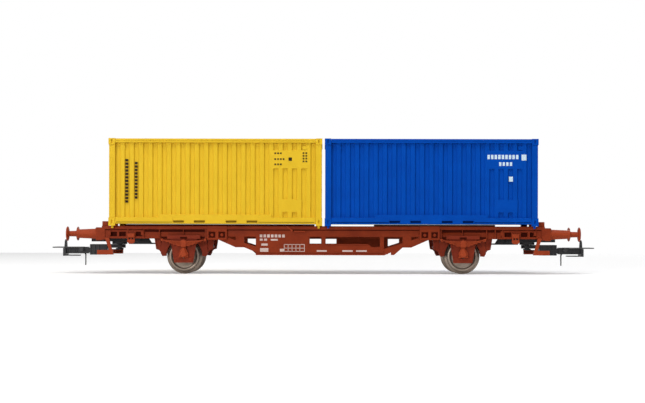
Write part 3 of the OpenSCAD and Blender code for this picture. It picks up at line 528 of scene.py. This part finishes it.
for side, sign in (("left", -1), ("right", 1)):
    low, high = corners(f"buffers_{side}")
    face_x = max(abs(low.x), abs(high.x))
    foot_x = base_x
    head_r = (high.z - low.z) / 2
    buffer_z = low.z + head_r
    reach = face_x - foot_x
    profile = [(-0.4, 0), (-0.4, 1.85), (0, 1.85), (0.12, 1.72), (0.5, 1.66), (reach - 4.2, 1.42), (reach - 3.9, 1.5),
               (reach - 3.55, 1.5), (reach - 3.4, 1.4), (reach - 3.35, 0.95), (reach - 1.1, 0.88), (reach - 0.85, 1.05),
               (reach - 0.72, head_r - 0.3), (reach - 0.6, head_r - 0.08), (reach - 0.45, head_r),
               (reach - 0.3, head_r - 0.05), (reach - 0.15, head_r - 0.3), (reach - 0.04, head_r * 0.5), (reach, 0)]
    form = bmesh.new()
    for m in (-1, 1):
        turned(form, profile, Matrix.Translation((foot_x, m * (high.y - head_r), buffer_z)))
    place(f"buffer_pair_{side}", form, gear_plastic, "wagon", "gear_plastic", [f"buffers_{side}"], flip=sign < 0)

# ---------------------------------------------------------------- Steps
# Shunter's steps at the four corners, clipped in from below: a slanted hanger and a thin
# board with a raised apron and a ribbed tread.
for side, sign in (("left", -1), ("right", 1)):
    form = copy_of(f"steps_{side}", 0.1)
    low, high = corners(f"steps_{side}")
    for i in range(7):
        x = low.x + 0.5 + i * 0.7
        for m in (-1, 1):
            block(form, (x - 0.12, m * (half_w - 0.9) - 0.8, low.z + 0.45), (x + 0.12, m * (half_w - 0.9) + 0.8, low.z + 0.62), 0.03)
    place(f"step_pair_{side}", form, gear_plastic, "wagon", "gear_plastic", [f"steps_{side}"])

# ---------------------------------------------------------------- Axle guards
# Flat plates that carry the axles' ends between two legs, with a tie bar below and the
# spring's channel above. Their legs have raised edges and bolt heads.
# A darker copy of the running gear's red for the axle guards and the brake gear: painted shade, as these parts sit in
# shadow under the frame.
shaded_gear_plastic = moulding("shaded_gear_plastic", (0.22, 0.030, 0.011), (0.15, 0.018, 0.007), 0.5)
for side, sign in (("left", -1), ("right", 1)):
    form = copy_of(f"axle_guards_{side}", 0.1)
    low, high = corners(f"axle_guards_{side}")
    centre = sign * axle_x
    plate_y = 11.2 + 0.8
    for m in (-1, 1):
        for e in (-1, 1):
            leg = [(centre + e * 4.35, beam_z - 0.05), (centre + e * 3.95, beam_z - 0.05),
                   (centre + e * 2.8, axle_z - 1.9), (centre + e * 3.15, axle_z - 1.9)]
            slab(form, leg, m * plate_y - 0.1, m * plate_y + 0.18, 0.05)
            for z in (beam_z - 0.8, beam_z - 1.9):
                rod(form, (centre + e * 3.3, m * plate_y, z), (centre + e * 3.3, m * (plate_y + 0.25), z), 0.24, 0.2, steps=6)
            rod(form, (centre + e * 2.4, m * (plate_y + 0.3), axle_z - 1.35), (centre + e * 2.4, m * (plate_y + 0.55), axle_z - 1.35),
                0.3, 0.26, steps=6)
    place(f"axle_guard_pair_{side}", form, shaded_gear_plastic, "wagon", "gear_plastic", [f"axle_guards_{side}"])

# ---------------------------------------------------------------- Axleboxes
# The bearing housings outside the guards: a body that narrows upwards to the spring's
# seat, with a rounded cone on its face, a lid below the cone and two lid bolts.
for side, sign in (("left", -1), ("right", 1)):
    low, high = corners(f"axleboxes_{side}")
    centre = sign * axle_x
    inner_y, outer_y = 12.0, high.y
    form = bmesh.new()
    slab(form, [(centre - 1.4, low.z), (centre + 1.4, low.z), (centre + 1.5, axle_z + 1.0), (centre + 0.5, high.z),
                (centre - 0.5, high.z), (centre - 1.5, axle_z + 1.0)], inner_y, outer_y - 0.55, 0.15)
    # cone: widest low on the box, its tip at the spring seat
    wide = [(centre + 1.25 * math.cos(math.radians(a)), axle_z + 0.85 + 1.15 * math.sin(math.radians(a)))
            for a in range(200, 341, 20)]
    slab(form, wide + [(centre + 0.3, high.z - 0.25), (centre - 0.3, high.z - 0.25)], outer_y - 0.7, outer_y, 0.28)
    block(form, (centre - 1.6, inner_y, low.z - 0.0), (centre + 1.6, outer_y - 0.35, low.z + 0.35), 0.1)
    for e in (-1, 1):
        rod(form, (centre + e * 1.15, outer_y - 0.6, axle_z + 1.25), (centre + e * 1.15, outer_y - 0.35, axle_z + 1.25), 0.22, 0.18, steps=6)
    twin(form, (1, -1, 1))
    place(f"axlebox_pair_{side}", form, gear_plastic, "wagon", "gear_plastic", [f"axleboxes_{side}"])

# ---------------------------------------------------------------- Leaf springs
# Five bent leaves, the longest on top, gripped by a buckle on the axlebox. Shackles with
# round pins hang the ends of the top leaf from brackets under the beam.
leaves, leaf_t, spring_w, spring_half, sag = 5, 0.34, 1.1, 7.0, 0.55
for side, sign in (("left", -1), ("right", 1)):
    low, high = corners(f"leaf_springs_{side}")
    centre = sign * axle_x
    y0 = high.y - spring_w - 0.15
    main_z = axle_z + 2.9 + 0.3 + (leaves - 1) * leaf_t
    form = bmesh.new()
    for i in range(leaves):
        half = spring_half - 1.2 * i
        bottom = main_z - leaf_t * i
        leaf = bmesh.new()
        bmesh.ops.create_cube(leaf, size=1, matrix=Matrix.Translation((0, y0 + spring_w / 2, bottom + leaf_t / 2)) @
                              Matrix.Diagonal((2 * half, spring_w - 0.06 * (i % 2), leaf_t - 0.04, 1)))
        lengthwise = [e for e in leaf.edges if abs(e.verts[0].co.x - e.verts[1].co.x) > half]
        bmesh.ops.subdivide_edges(leaf, edges=lengthwise, cuts=15, use_grid_fill=True)
        for v in leaf.verts:
            v.co.z += sag * (v.co.x / spring_half) ** 2
        soften(leaf, [e for e in leaf.edges if e.calc_face_angle(0) > math.radians(50)], 0.06, 1)
        add(form, leaf, Matrix.Translation((centre, 0, 0)))
    # eyes, pins and shackles at the ends of the top leaf
    for e in (-1, 1):
        eye = Vector((centre + e * (spring_half - 0.1), 0, main_z + sag + 0.05))
        rod(form, eye + Vector((0, y0, 0)), eye + Vector((0, y0 + spring_w, 0)), 0.34, edge=0.05)
        for y in (y0 + 0.02, y0 + spring_w - 0.22):
            slab(form, [(eye.x - 0.32, eye.z - 0.25), (eye.x + 0.32, eye.z - 0.25), (eye.x + e * 0.2 + 0.4, beam_z - 0.05),
                        (eye.x + e * 0.2 - 0.4, beam_z - 0.05)], y, y + 0.2, 0.05)
    # buckle with a rib and a nut
    block(form, (centre - 0.85, y0, axle_z + 2.92), (centre + 0.85, y0 + spring_w + 0.15, main_z + leaf_t + 0.25), 0.12)
    rod(form, (centre, y0 + spring_w / 2, main_z + leaf_t + 0.2), (centre, y0 + spring_w / 2, min(main_z + leaf_t + 0.6, high.z)),
        0.35, 0.3, steps=6)
    twin(form, (1, -1, 1))
    place(f"leaf_spring_pair_{side}", form, gear_plastic, "wagon", "gear_plastic", [f"leaf_springs_{side}"])

# ---------------------------------------------------------------- Brake gear
# Hangers with their shoes in front of and behind each wheel, moulded with a cross tube
# between the two sides and a pull rod along the middle. The shoes follow the tread's curve.
tread_r, wheel_mid = 4.95, 8.55
shoe_r = tread_r + 0.95
for side, sign in (("left", -1), ("right", 1)):
    low, high = corners(f"brake_gear_{side}")
    centre = sign * axle_x
    form = bmesh.new()
    for m in (-1, 1):
        hanger = [(10.0, beam_z + 0.9), (8.2, beam_z + 0.9), (7.3, axle_z + 3.6), (6.6, axle_z + 2.6),
                  (7.6, axle_z + 1.0), (8.3, axle_z + 1.9), (9.3, axle_z + 2.2)]
        shoe = [(shoe_r * math.cos(math.radians(a)), axle_z + shoe_r * math.sin(math.radians(a))) for a in range(56, -4, -4)]
        shoe += [(7.2, axle_z - 0.1), (7.75, axle_z + 0.9), (7.6, axle_z + 2.8), (7.2, beam_z + 0.9), (4.2, beam_z + 0.9)]
        y0 = wheel_mid - 0.4
        slab(form, [(centre + m * x, z) for x, z in hanger], y0 + 0.3, y0 + 1.2, 0.12)
        slab(form, [(centre + m * x, z) for x, z in shoe], y0, y0 + 1.6, 0.1)
        # raised rib down the hanger, and the bolt that holds the shoe
        slab(form, [(centre + m * 9.85, beam_z + 0.6), (centre + m * 9.5, beam_z + 0.6), (centre + m * 8.85, axle_z + 2.4),
                    (centre + m * 9.2, axle_z + 2.4)], y0 + 1.1, y0 + 1.4, 0.06)
        rod(form, (centre + m * 7.5, y0 + 1.1, axle_z + 1.9), (centre + m * 7.5, y0 + 1.55, axle_z + 1.9), 0.35, 0.3, steps=6)
        block(form, (centre + m * 9.1 - 0.8, y0, beam_z + 0.8), (centre + m * 9.1 + 0.8, y0 + 1.6, 13.3), 0.08)
    twin(form, (1, -1, 1))
    for m in (-1, 1):
        rod(form, (centre + m * 8.3, -wheel_mid, axle_z + 3.0), (centre + m * 8.3, wheel_mid, axle_z + 3.0), 0.45, edge=0.08)
        block(form, (centre + m * 8.3 - 0.6, -0.7, axle_z + 2.4), (centre + m * 8.3 + 0.6, 0.7, axle_z + 3.6), 0.1)
    # The brake gear takes the darker copy of the gear red, which is painted shade.
    place(f"brake_rigging_{side}", form, shaded_gear_plastic, "wagon", "gear_plastic", [f"brake_gear_{side}"])

# ---------------------------------------------------------------- Axles
# Turned steel: a plain shaft pressed through both wheels, stepped down to thin journals
# that end in cone points in the axleboxes.
nodes, links, turned_skin = shader_group(
    "turned_skin", {"Metal": (0.4, 0.4, 0.4, 1), "Stain": (0.3, 0.3, 0.3, 1), "Axle X": 0.05, "Axle Z": 0.006,
                    "Groove": 9000.0, "Dullness": 0.35},
    {"Colour": "NodeSocketColor", "Roughness": "NodeSocketFloat", "Height": "NodeSocketFloat"})
given, result = nodes.new("NodeGroupInput"), nodes.new("NodeGroupOutput")
coords = nodes.new("ShaderNodeTexCoord").outputs["Object"]


def sum_of(nodes, links, way, first, second):
    step = nodes.new("ShaderNodeMath")
    step.operation = way
    for socket, value in zip(step.inputs, (first, second)):
        if isinstance(value, bpy.types.NodeSocket):
            links.new(value, socket)
        else:
            socket.default_value = value
    return step.outputs["Value"]


# distance from the nearest axle's centre line, cut into fine tool marks
split = nodes.new("ShaderNodeSeparateXYZ")
links.new(coords, split.inputs["Vector"])
along = sum_of(nodes, links, "SUBTRACT", sum_of(nodes, links, "ABSOLUTE", split.outputs["X"], 0), given.outputs["Axle X"])
up = sum_of(nodes, links, "SUBTRACT", split.outputs["Z"], given.outputs["Axle Z"])
radius = sum_of(nodes, links, "SQRT", sum_of(nodes, links, "ADD", sum_of(nodes, links, "MULTIPLY", along, along),
                                             sum_of(nodes, links, "MULTIPLY", up, up)), 0)
marks = sum_of(nodes, links, "SINE", sum_of(nodes, links, "MULTIPLY", radius, given.outputs["Groove"]), 0)
clouds = noise(nodes, links, coords, 260, 4)
links.new(blend_colour(nodes, links, remap(nodes, links, clouds, 0, 0.9), given.outputs["Metal"],
                       given.outputs["Stain"]), result.inputs["Colour"])
links.new(sum_of(nodes, links, "ADD", given.outputs["Dullness"], remap(nodes, links, clouds, -0.06, 0.1)),
          result.inputs["Roughness"])
links.new(marks, result.inputs["Height"])


def turned_metal(name, metal, stain, dullness, metallic):
    return surface_of(name, turned_skin, {"Metal": (*metal, 1), "Stain": (*stain, 1), "Axle X": axle_x * MM,
                                          "Axle Z": axle_z * MM, "Dullness": dullness},
                      metallic=metallic, bump=0.25, depth=0.00001)


axle_steel = turned_metal("axle_steel", (0.36, 0.35, 0.34), (0.25, 0.23, 0.21), 0.32, 0.9)
for side, sign in (("left", -1), ("right", 1)):
    low, high = corners(f"axle_{side}")
    end_y = high.y
    profile = [(0, 1.0), (10.9, 1.0), (11.0, 0.9), (11.0, 0.7), (end_y - 0.35, 0.7), (end_y, 0.2), (end_y, 0)]
    form = bmesh.new()
    for m in (-1, 1):
        turned(form, profile, Matrix.Translation((sign * axle_x, 0, axle_z)) @ Matrix.Rotation(m * math.pi / 2, 4, "Z"), 32)
    bmesh.ops.remove_doubles(form, verts=form.verts, dist=0.0005)
    place(f"axle_shaft_{side}", form, axle_steel, f"wheelset_{side}", "axle_steel", [f"axle_{side}"])

# ---------------------------------------------------------------- Wheels
# Turned from brass and chemically dulled to a warm grey: a coned tread with a flange, a
# hollowed web that leaves a bright rim, and a raised hub pressed on the axle.
wheel_metal = turned_metal("wheel_metal", (0.30, 0.24, 0.19), (0.18, 0.14, 0.11), 0.38, 0.6)
wheel_w, back_y, flange_r = 2.8, 7.15, 5.85
wheel_profile = [
    (0, 1.02), (0, 1.75), (0.35, 1.95), (0.7, 2.4), (0.75, 3.6), (0.45, 4.0), (0, 4.15), (0, 5.5),
    (0.06, 5.7), (0.2, 5.82), (0.38, flange_r), (0.56, 5.8), (0.7, 5.6), (0.8, 5.3), (0.95, 5.05), (1.15, 4.97),
    (wheel_w - 0.25, 4.86), (wheel_w - 0.08, 4.8), (wheel_w, 4.68), (wheel_w, 4.24), (wheel_w - 0.06, 4.16),
    (wheel_w - 0.7, 4.08), (wheel_w - 0.82, 3.9), (wheel_w - 0.85, 3.4), (wheel_w - 0.6, 2.4), (wheel_w - 0.45, 2.0),
    (wheel_w - 0.15, 1.85), (wheel_w - 0.1, 1.75), (wheel_w - 0.1, 1.02), (0, 1.02)]
for side, sign in (("left", -1), ("right", 1)):
    form = bmesh.new()
    for m in (-1, 1):
        turned(form, wheel_profile, Matrix.Translation((sign * axle_x, m * back_y, axle_z)) @
               Matrix.Rotation(m * math.pi / 2, 4, "Z"), 96)
    place(f"wheel_pair_{side}", form, wheel_metal, f"wheelset_{side}", "wheel_metal", [f"wheels_{side}"])

# ---------------------------------------------------------------- Coupler mounts
# Black nylon plates under the frame's ends with the pin that the drawbar swings on. A
# tapered tongue behind it guides the drawbar's spring.
black_plastic = moulding("black_plastic", (0.016, 0.016, 0.017), (0.008, 0.008, 0.009), 0.42, specular=0.3)
for side in ("left", "right"):
    form = copy_of(f"coupler_mount_{side}", 0.08)
    place(f"drawbar_mount_{side}", form, black_plastic, "wagon", "black_plastic", [f"coupler_mount_{side}"])

# ---------------------------------------------------------------- Swinging drawbars
# A flat bar with a boxy socket at its end, moulded in black nylon. Side ribs and a latch
# window stiffen the socket that the coupler clicks into.
for side, sign in (("left", -1), ("right", 1)):
    form = copy_of(f"coupler_pocket_{side}", 0.08)
    low, high = corners(f"coupler_pocket_{side}")
    mouth = max(abs(low.x), abs(high.x))
    for m in (-1, 1):
        for back in (0.35, 1.7, 3.05):
            x = sign * (mouth - back)
            block(form, (x - 0.18, m * 2.7 - 0.12, low.z + 0.3), (x + 0.18, m * 2.7 + 0.12, high.z - 0.3), 0.05)
        block(form, (min(sign * (mouth - 5.2), sign * (mouth - 0.3)), m * 2.7 - 0.1, low.z + 1.4),
              (max(sign * (mouth - 5.2), sign * (mouth - 0.3)), m * 2.7 + 0.1, low.z + 1.7), 0.04)
    place(f"drawbar_{side}", form, black_plastic, f"coupler_{side}", "black_plastic", [f"coupler_pocket_{side}"])

# ---------------------------------------------------------------- Coupler heads
# The plug-in coupler: shank, a ribbed body, an upright front plate with the hook's point
# above, and a guard bar below.
for side, sign in (("left", -1), ("right", 1)):
    form = copy_of(f"coupler_head_{side}", 0.07)
    low, high = corners(f"coupler_head_{side}")
    face = max(abs(low.x), abs(high.x))
    for m in (-1, 1):
        for i in range(5):
            x = sign * (face - 1.5 - 0.75 * i)
            block(form, (x - 0.16, m * 1.9 - 0.12, 6.55), (x + 0.16, m * 1.9 + 0.12, 8.6), 0.04)
    place(f"coupler_plug_{side}", form, black_plastic, f"coupler_{side}", "black_plastic", [f"coupler_head_{side}"])

# ---------------------------------------------------------------- Wire loops
# Blackened spring wire, bent to a flat loop that lifts on its cross pin, with a thin lever
# that hangs below for uncoupling.
nodes, links, drawn_wire = shader_group(
    "drawn_wire", {"Metal": (0.05, 0.05, 0.05, 1), "Bare": (0.2, 0.2, 0.2, 1)},
    {"Colour": "NodeSocketColor", "Roughness": "NodeSocketFloat", "Height": "NodeSocketFloat"})
given, result = nodes.new("NodeGroupInput"), nodes.new("NodeGroupOutput")
coords = nodes.new("ShaderNodeTexCoord").outputs["Object"]
rubbed = remap(nodes, links, noise(nodes, links, coords, 900, 3), 0, 0.5, 0.5, 0.8)
links.new(blend_colour(nodes, links, rubbed, given.outputs["Metal"], given.outputs["Bare"]), result.inputs["Colour"])
links.new(remap(nodes, links, rubbed, 0.42, 0.3, 0, 0.5), result.inputs["Roughness"])
links.new(noise(nodes, links, coords, 4000, 2), result.inputs["Height"])
black_wire = surface_of("black_wire", drawn_wire, {"Metal": (0.035, 0.035, 0.036, 1), "Bare": (0.16, 0.15, 0.14, 1)},
                        metallic=0.7)
for side in ("left", "right"):
    form = copy_of(f"coupler_loop_{side}", 0.03, 60)
    place(f"wire_loop_{side}", form, black_wire, f"loop_{side}", "black_wire", [f"coupler_loop_{side}"])

# ---------------------------------------------------------------- Containers: end frames
# Each container is moulded in its own colour. An end frame holds four corner castings with
# stadium slots, two posts, two cross rails, and the pins that locate it on the wagon.
yellow_plastic = moulding("yellow_plastic", (0.71, 0.46, 0.022), (0.66, 0.42, 0.018), 0.40)
blue_plastic = moulding("blue_plastic", (0.000, 0.061, 0.385), (0.000, 0.050, 0.33), 0.38, specular=0.05)
pin_h, post_inset = 0.8, 0.2
post_half = (2.1 - post_inset) / 2
containers = []
for colour, finish in (("yellow", yellow_plastic), ("blue", blue_plastic)):
    low, high = corners(f"{colour}_container_front_frame")
    far = corners(f"{colour}_container_door_frame")[1]
    half = (far.x - low.x) / 2
    containers.append((colour, finish, Vector((low.x + half, 0, low.z + pin_h))))
box_h = high.z - low.z - pin_h
wall_out = high.y - post_inset

for colour, finish, home in containers:
    for end, sign in (("front", -1), ("door", 1)):
        form = copy_of(f"{colour}_container_{end}_frame", 0.12)
        bmesh.ops.translate(form, vec=-home, verts=form.verts)
        for m in (-1, 1):
            # top corner plates and the weld ridge where each post meets its castings
            x = sign * (half - post_inset - post_half)
            for z in (2.72, box_h - 2.12):
                y = m * (wall_out - post_half)
                ridge = post_half + 0.06
                block(form, (x - ridge, y - ridge, z - 0.1), (x + ridge, y + ridge, z + 0.1), 0.06)
            # upright bead along the post's outer corner
            rod(form, (sign * (half - post_inset - 0.2), m * (wall_out - 0.2), 2.7),
                (sign * (half - post_inset - 0.2), m * (wall_out - 0.2), box_h - 2.1), 0.24, steps=12)
            if end == "door":
                for z in (5.0, 11.5, 18.0, 23.6):
                    hinge = Vector((half - post_inset - 0.22, m * (wall_out - 1.35), z))
                    rod(form, hinge, hinge + Vector((0, 0, 1.3)), 0.3, steps=12, edge=0.05)
        place(f"{colour}_{end}_corner_frame", form, finish, f"{colour}_container", f"{colour}_plastic",
              [f"{colour}_container_{end}_frame"], shift=home)

# ---------------------------------------------------------------- Containers: side rails
# Box rails along the top and the bottom edge of each side. The bottom rail has four fork
# pockets under a raised band, and a proud strip with a shadow groove towards each end.
rail_half = half - 2.12
fork_x, fork_depth = (-11.95, -5.15, 5.15, 11.95), 0.7
for colour, finish, home in containers:
    form = copy_of(f"{colour}_container_side_rails", 0.1)
    bmesh.ops.translate(form, vec=-home, verts=form.verts)
    for m in (-1, 1):
        for e in (-1, 1):
            x0, x1 = sorted((e * 13.9, e * 32.4))
            y0, y1 = sorted((m * (wall_out - 0.1), m * (wall_out + 0.14)))
            block(form, (x0, y0, 1.3), (x1, y1, 2.72), 0.06)
        y0, y1 = sorted((m * (wall_out - 0.1), m * (wall_out + 0.12)))
        block(form, (-rail_half + 0.3, y0, box_h - 0.75), (rail_half - 0.3, y1, box_h - 0.25), 0.08)
        # rims of the fork pockets
        for x in fork_x:
            block(form, (x - 1.9, y0, 1.76), (x + 1.9, y1, 1.92), 0.04)
    place(f"{colour}_side_rails", form, finish, f"{colour}_container", f"{colour}_plastic",
          [f"{colour}_container_side_rails"], shift=home)

# ---------------------------------------------------------------- Painted shade in the fork pockets
# A darker film of each container's own colour that paints in the shade inside the fork pockets and
# in the groove under the bottom rail's proud strips.
yellow_painted_shade = moulding("yellow_painted_shade", (0.29, 0.185, 0.012), (0.24, 0.15, 0.010), 0.7, specular=0.03)
blue_painted_shade = moulding("blue_painted_shade", (0.0, 0.020, 0.13), (0.0, 0.015, 0.10), 0.7, specular=0.03)
for (colour, finish, home), shade_film in zip(containers, (yellow_painted_shade, blue_painted_shade)):
    form = bmesh.new()
    pockets = [(x - 1.65, x + 1.65, 1.05, 1.68) for x in fork_x]
    grooves = [(-32.3, -14.0, 1.08, 1.28), (14.0, 32.3, 1.08, 1.28)]
    for m in (-1, 1):
        thin_film(form, m * (wall_out - fork_depth), pockets, outwards=m)
        thin_film(form, m * wall_out, grooves, outwards=m)
    place(f"{colour}_pocket_painted_shade", form, shade_film, f"{colour}_container", f"{colour}_plastic", shift=home)

# ---------------------------------------------------------------- Containers: side walls
# Corrugated panels between the rails, pressed in upright ribs. Flat plates near the doors
# cover the ribs where data is painted, and are left blank.
def ribbed_panel(form, half_run, face, back, z0, z1, pitch=3.03, rib_h=0.5, top=1.3, slope=0.27):
    """Corrugated panel along X with its ribs towards +Y."""
    count = 2 * int((half_run - 1.0) / pitch) + 1
    first = -(count - 1) / 2 * pitch
    crest = [(first + i * pitch + dx, face - rib_h + rise) for i in range(count)
             for dx, rise in ((-top / 2 - slope, 0), (-top / 2, rib_h), (top / 2, rib_h), (top / 2 + slope, 0))]
    outline = [(-half_run, face - rib_h)] + crest + [(half_run, face - rib_h), (half_run, back), (-half_run, back)]
    sheet = form.faces.new([form.verts.new((x, y, z0)) for x, y in outline])
    grown = bmesh.ops.extrude_face_region(form, geom=[sheet])["geom"]
    verts = [v for v in grown if isinstance(v, bmesh.types.BMVert)]
    bmesh.ops.translate(form, vec=(0, 0, z1 - z0), verts=verts)
    creases = {e for v in verts for e in v.link_edges if e.calc_face_angle(0) > math.radians(20) and
               abs(e.verts[0].co.z - e.verts[1].co.z) > 1}
    soften(form, creases, 0.05)


wall_z0, wall_z1 = 2.77, box_h - post_inset / 2 - 1.37
wall_face = wall_out - 0.5
for colour, finish, home in containers:
    form = bmesh.new()
    ribbed_panel(form, rail_half, wall_face, wall_face - 1.2, wall_z0, wall_z1)
    # label plates: [near edge, far edge] from the doors, [lower, upper] from the castings' feet
    for near, away, lower, upper in ((3.9, 16.1, box_h - 9.8, box_h - 3.8), (6.7, 13.4, 4.5, 8.7)):
        block(form, (near - half, wall_face - 0.6, lower), (away - half, wall_face + 0.02, upper), 0.08)
    # vents under the top rail
    for x in (30.2, -29.0):
        block(form, (x - 0.75, wall_face - 0.5, wall_z1 - 2.2), (x + 0.75, wall_face + 0.04, wall_z1 - 0.9), 0.1)
    add(form, form.copy(), Matrix.Rotation(math.pi, 4, "Z"))
    place(f"{colour}_side_panels", form, finish, f"{colour}_container", f"{colour}_plastic",
          [f"{colour}_container_side_walls"], shift=home)

# ---------------------------------------------------------------- Containers: front wall
# The blind end, corrugated like the sides and set a little behind its corner posts.
end_half = wall_out - 2 * post_half - 0.02
for colour, finish, home in containers:
    form = bmesh.new()
    ribbed_panel(form, end_half, half - post_inset - 0.15, half - post_inset - 1.35, 2.75, wall_z1)
    bmesh.ops.rotate(form, matrix=Matrix.Rotation(math.pi / 2, 3, "Z"), verts=form.verts)
    place(f"{colour}_front_panel", form, finish, f"{colour}_container", f"{colour}_plastic",
          [f"{colour}_container_front_wall"], shift=home)

# ---------------------------------------------------------------- Containers: doors
# Two leaves moulded shut with recessed panels. Two lock rods a leaf turn in guides, with
# cams at both ends and a long handle with its hasp at waist height.
for colour, finish, home in containers:
    form = copy_of(f"{colour}_container_doors", 0.06)
    bmesh.ops.translate(form, vec=-home, verts=form.verts)
    face_x = half - post_inset - 0.3
    for m in (-1, 1):
        for y in (2.6, 8.6):
            for z in (3.2, wall_z1 - 0.7):
                block(form, (face_x - 0.1, m * y - 0.45, z - 0.35), (face_x + 0.3, m * y + 0.45, z + 0.35), 0.08)
            grip = (m * (y + 2.6)) if y < 5 else m * (y - 2.6)
            rod(form, (face_x + 0.12, m * y, 11.6), (face_x + 0.12, grip, 11.6), 0.18, steps=12, edge=0.04)
            block(form, (face_x - 0.1, grip - 0.4, 11.2), (face_x + 0.25, grip + 0.4, 12.0), 0.07)
        rod(form, (face_x + 0.02, m * 0.35, 3.0), (face_x + 0.02, m * 0.35, wall_z1 - 0.2), 0.2, steps=12)
        for z in (4.6, 11.1, 17.6, 23.2):
            block(form, (face_x - 0.1, min(m * 10.6, m * 11.85), z), (face_x + 0.18, max(m * 10.6, m * 11.85), z + 0.8), 0.07)
    place(f"{colour}_door_leaves", form, finish, f"{colour}_container", f"{colour}_plastic",
          [f"{colour}_container_doors"], shift=home)

# ---------------------------------------------------------------- Containers: roof and floor
# The roof sheet is pressed with shallow cross swages and has a plate at each corner. The
# floor lies on eleven cross bearers between the bottom rails.
for colour, finish, home in containers:
    form = copy_of(f"{colour}_container_roof", 0.1)
    bmesh.ops.translate(form, vec=-home, verts=form.verts)
    for sx in (-1, 1):
        for sy in (-1, 1):
            x0, x1 = sorted((sx * 31.0, sx * 33.1))
            y0, y1 = sorted((sy * 9.4, sy * 11.6))
            block(form, (x0, y0, box_h - 0.7), (x1, y1, box_h - 0.5), 0.06)
    place(f"{colour}_roof_sheet", form, finish, f"{colour}_container", f"{colour}_plastic",
          [f"{colour}_container_roof"], shift=home)
    place(f"{colour}_floor", copy_of(f"{colour}_container_floor", 0.08), finish, f"{colour}_container",
          f"{colour}_plastic", [f"{colour}_container_floor"])

# ---------------------------------------------------------------- Plain marks on the containers
# Rows of small plain squares in thin ink, where a real box carries its data: upright in
# black on the yellow one, level in white on the blue one. They say nothing.
black_ink = moulding("black_ink", (0.030, 0.018, 0.008), (0.02, 0.012, 0.006), 0.6)
pale_ink = moulding("pale_ink", (0.60, 0.72, 0.80), (0.48, 0.62, 0.74), 0.6)
marks = {
    "yellow": (black_ink, [(-29.4, -28.4, z, z + 0.75) for z in [7.5 + 1.12 * i for i in range(13)]] +
               [(-26.3, -25.4, z, z + 0.75) for z in [8.8 + 1.12 * i for i in range(11)]] +
               [(19.2 + 0.9 * i, 19.75 + 0.9 * i, 23.4, 23.95) for i in range(3)] +
               [(19.2 + 0.9 * i, 19.75 + 0.9 * i, 21.5, 22.05) for i in range(4)] + [(23.8, 24.9, 21.2, 22.3)] +
               [(19.2 + 0.9 * i, 19.75 + 0.9 * i, 19.8, 20.35) for i in range(3)] +
               [(28.4 + 0.9 * i, 28.95 + 0.9 * i, z, z + 0.5) for i in range(2) for z in (20.8, 21.7, 22.6, 23.5)]),
    "blue": (pale_ink, [(x, x + 0.8, 21.9, 23.3) for x in [18.2 + 1.16 * i for i in range(9)]] + [(29.3, 30.9, 21.5, 23.4)] +
             [(x, x + 0.75, 19.7, 20.9) for x in [22.0 + 1.16 * i for i in range(4)]] + [(25.2, 26.5, 14.6, 16.2)]),
}
for colour, finish, home in containers:
    ink, fields = marks[colour]
    form = bmesh.new()
    thin_film(form, -wall_face - 0.03, fields)
    twin(form, (-1, -1, 1))
    place(f"{colour}_blank_marks", form, ink, f"{colour}_container", f"{colour}_plastic", shift=home)
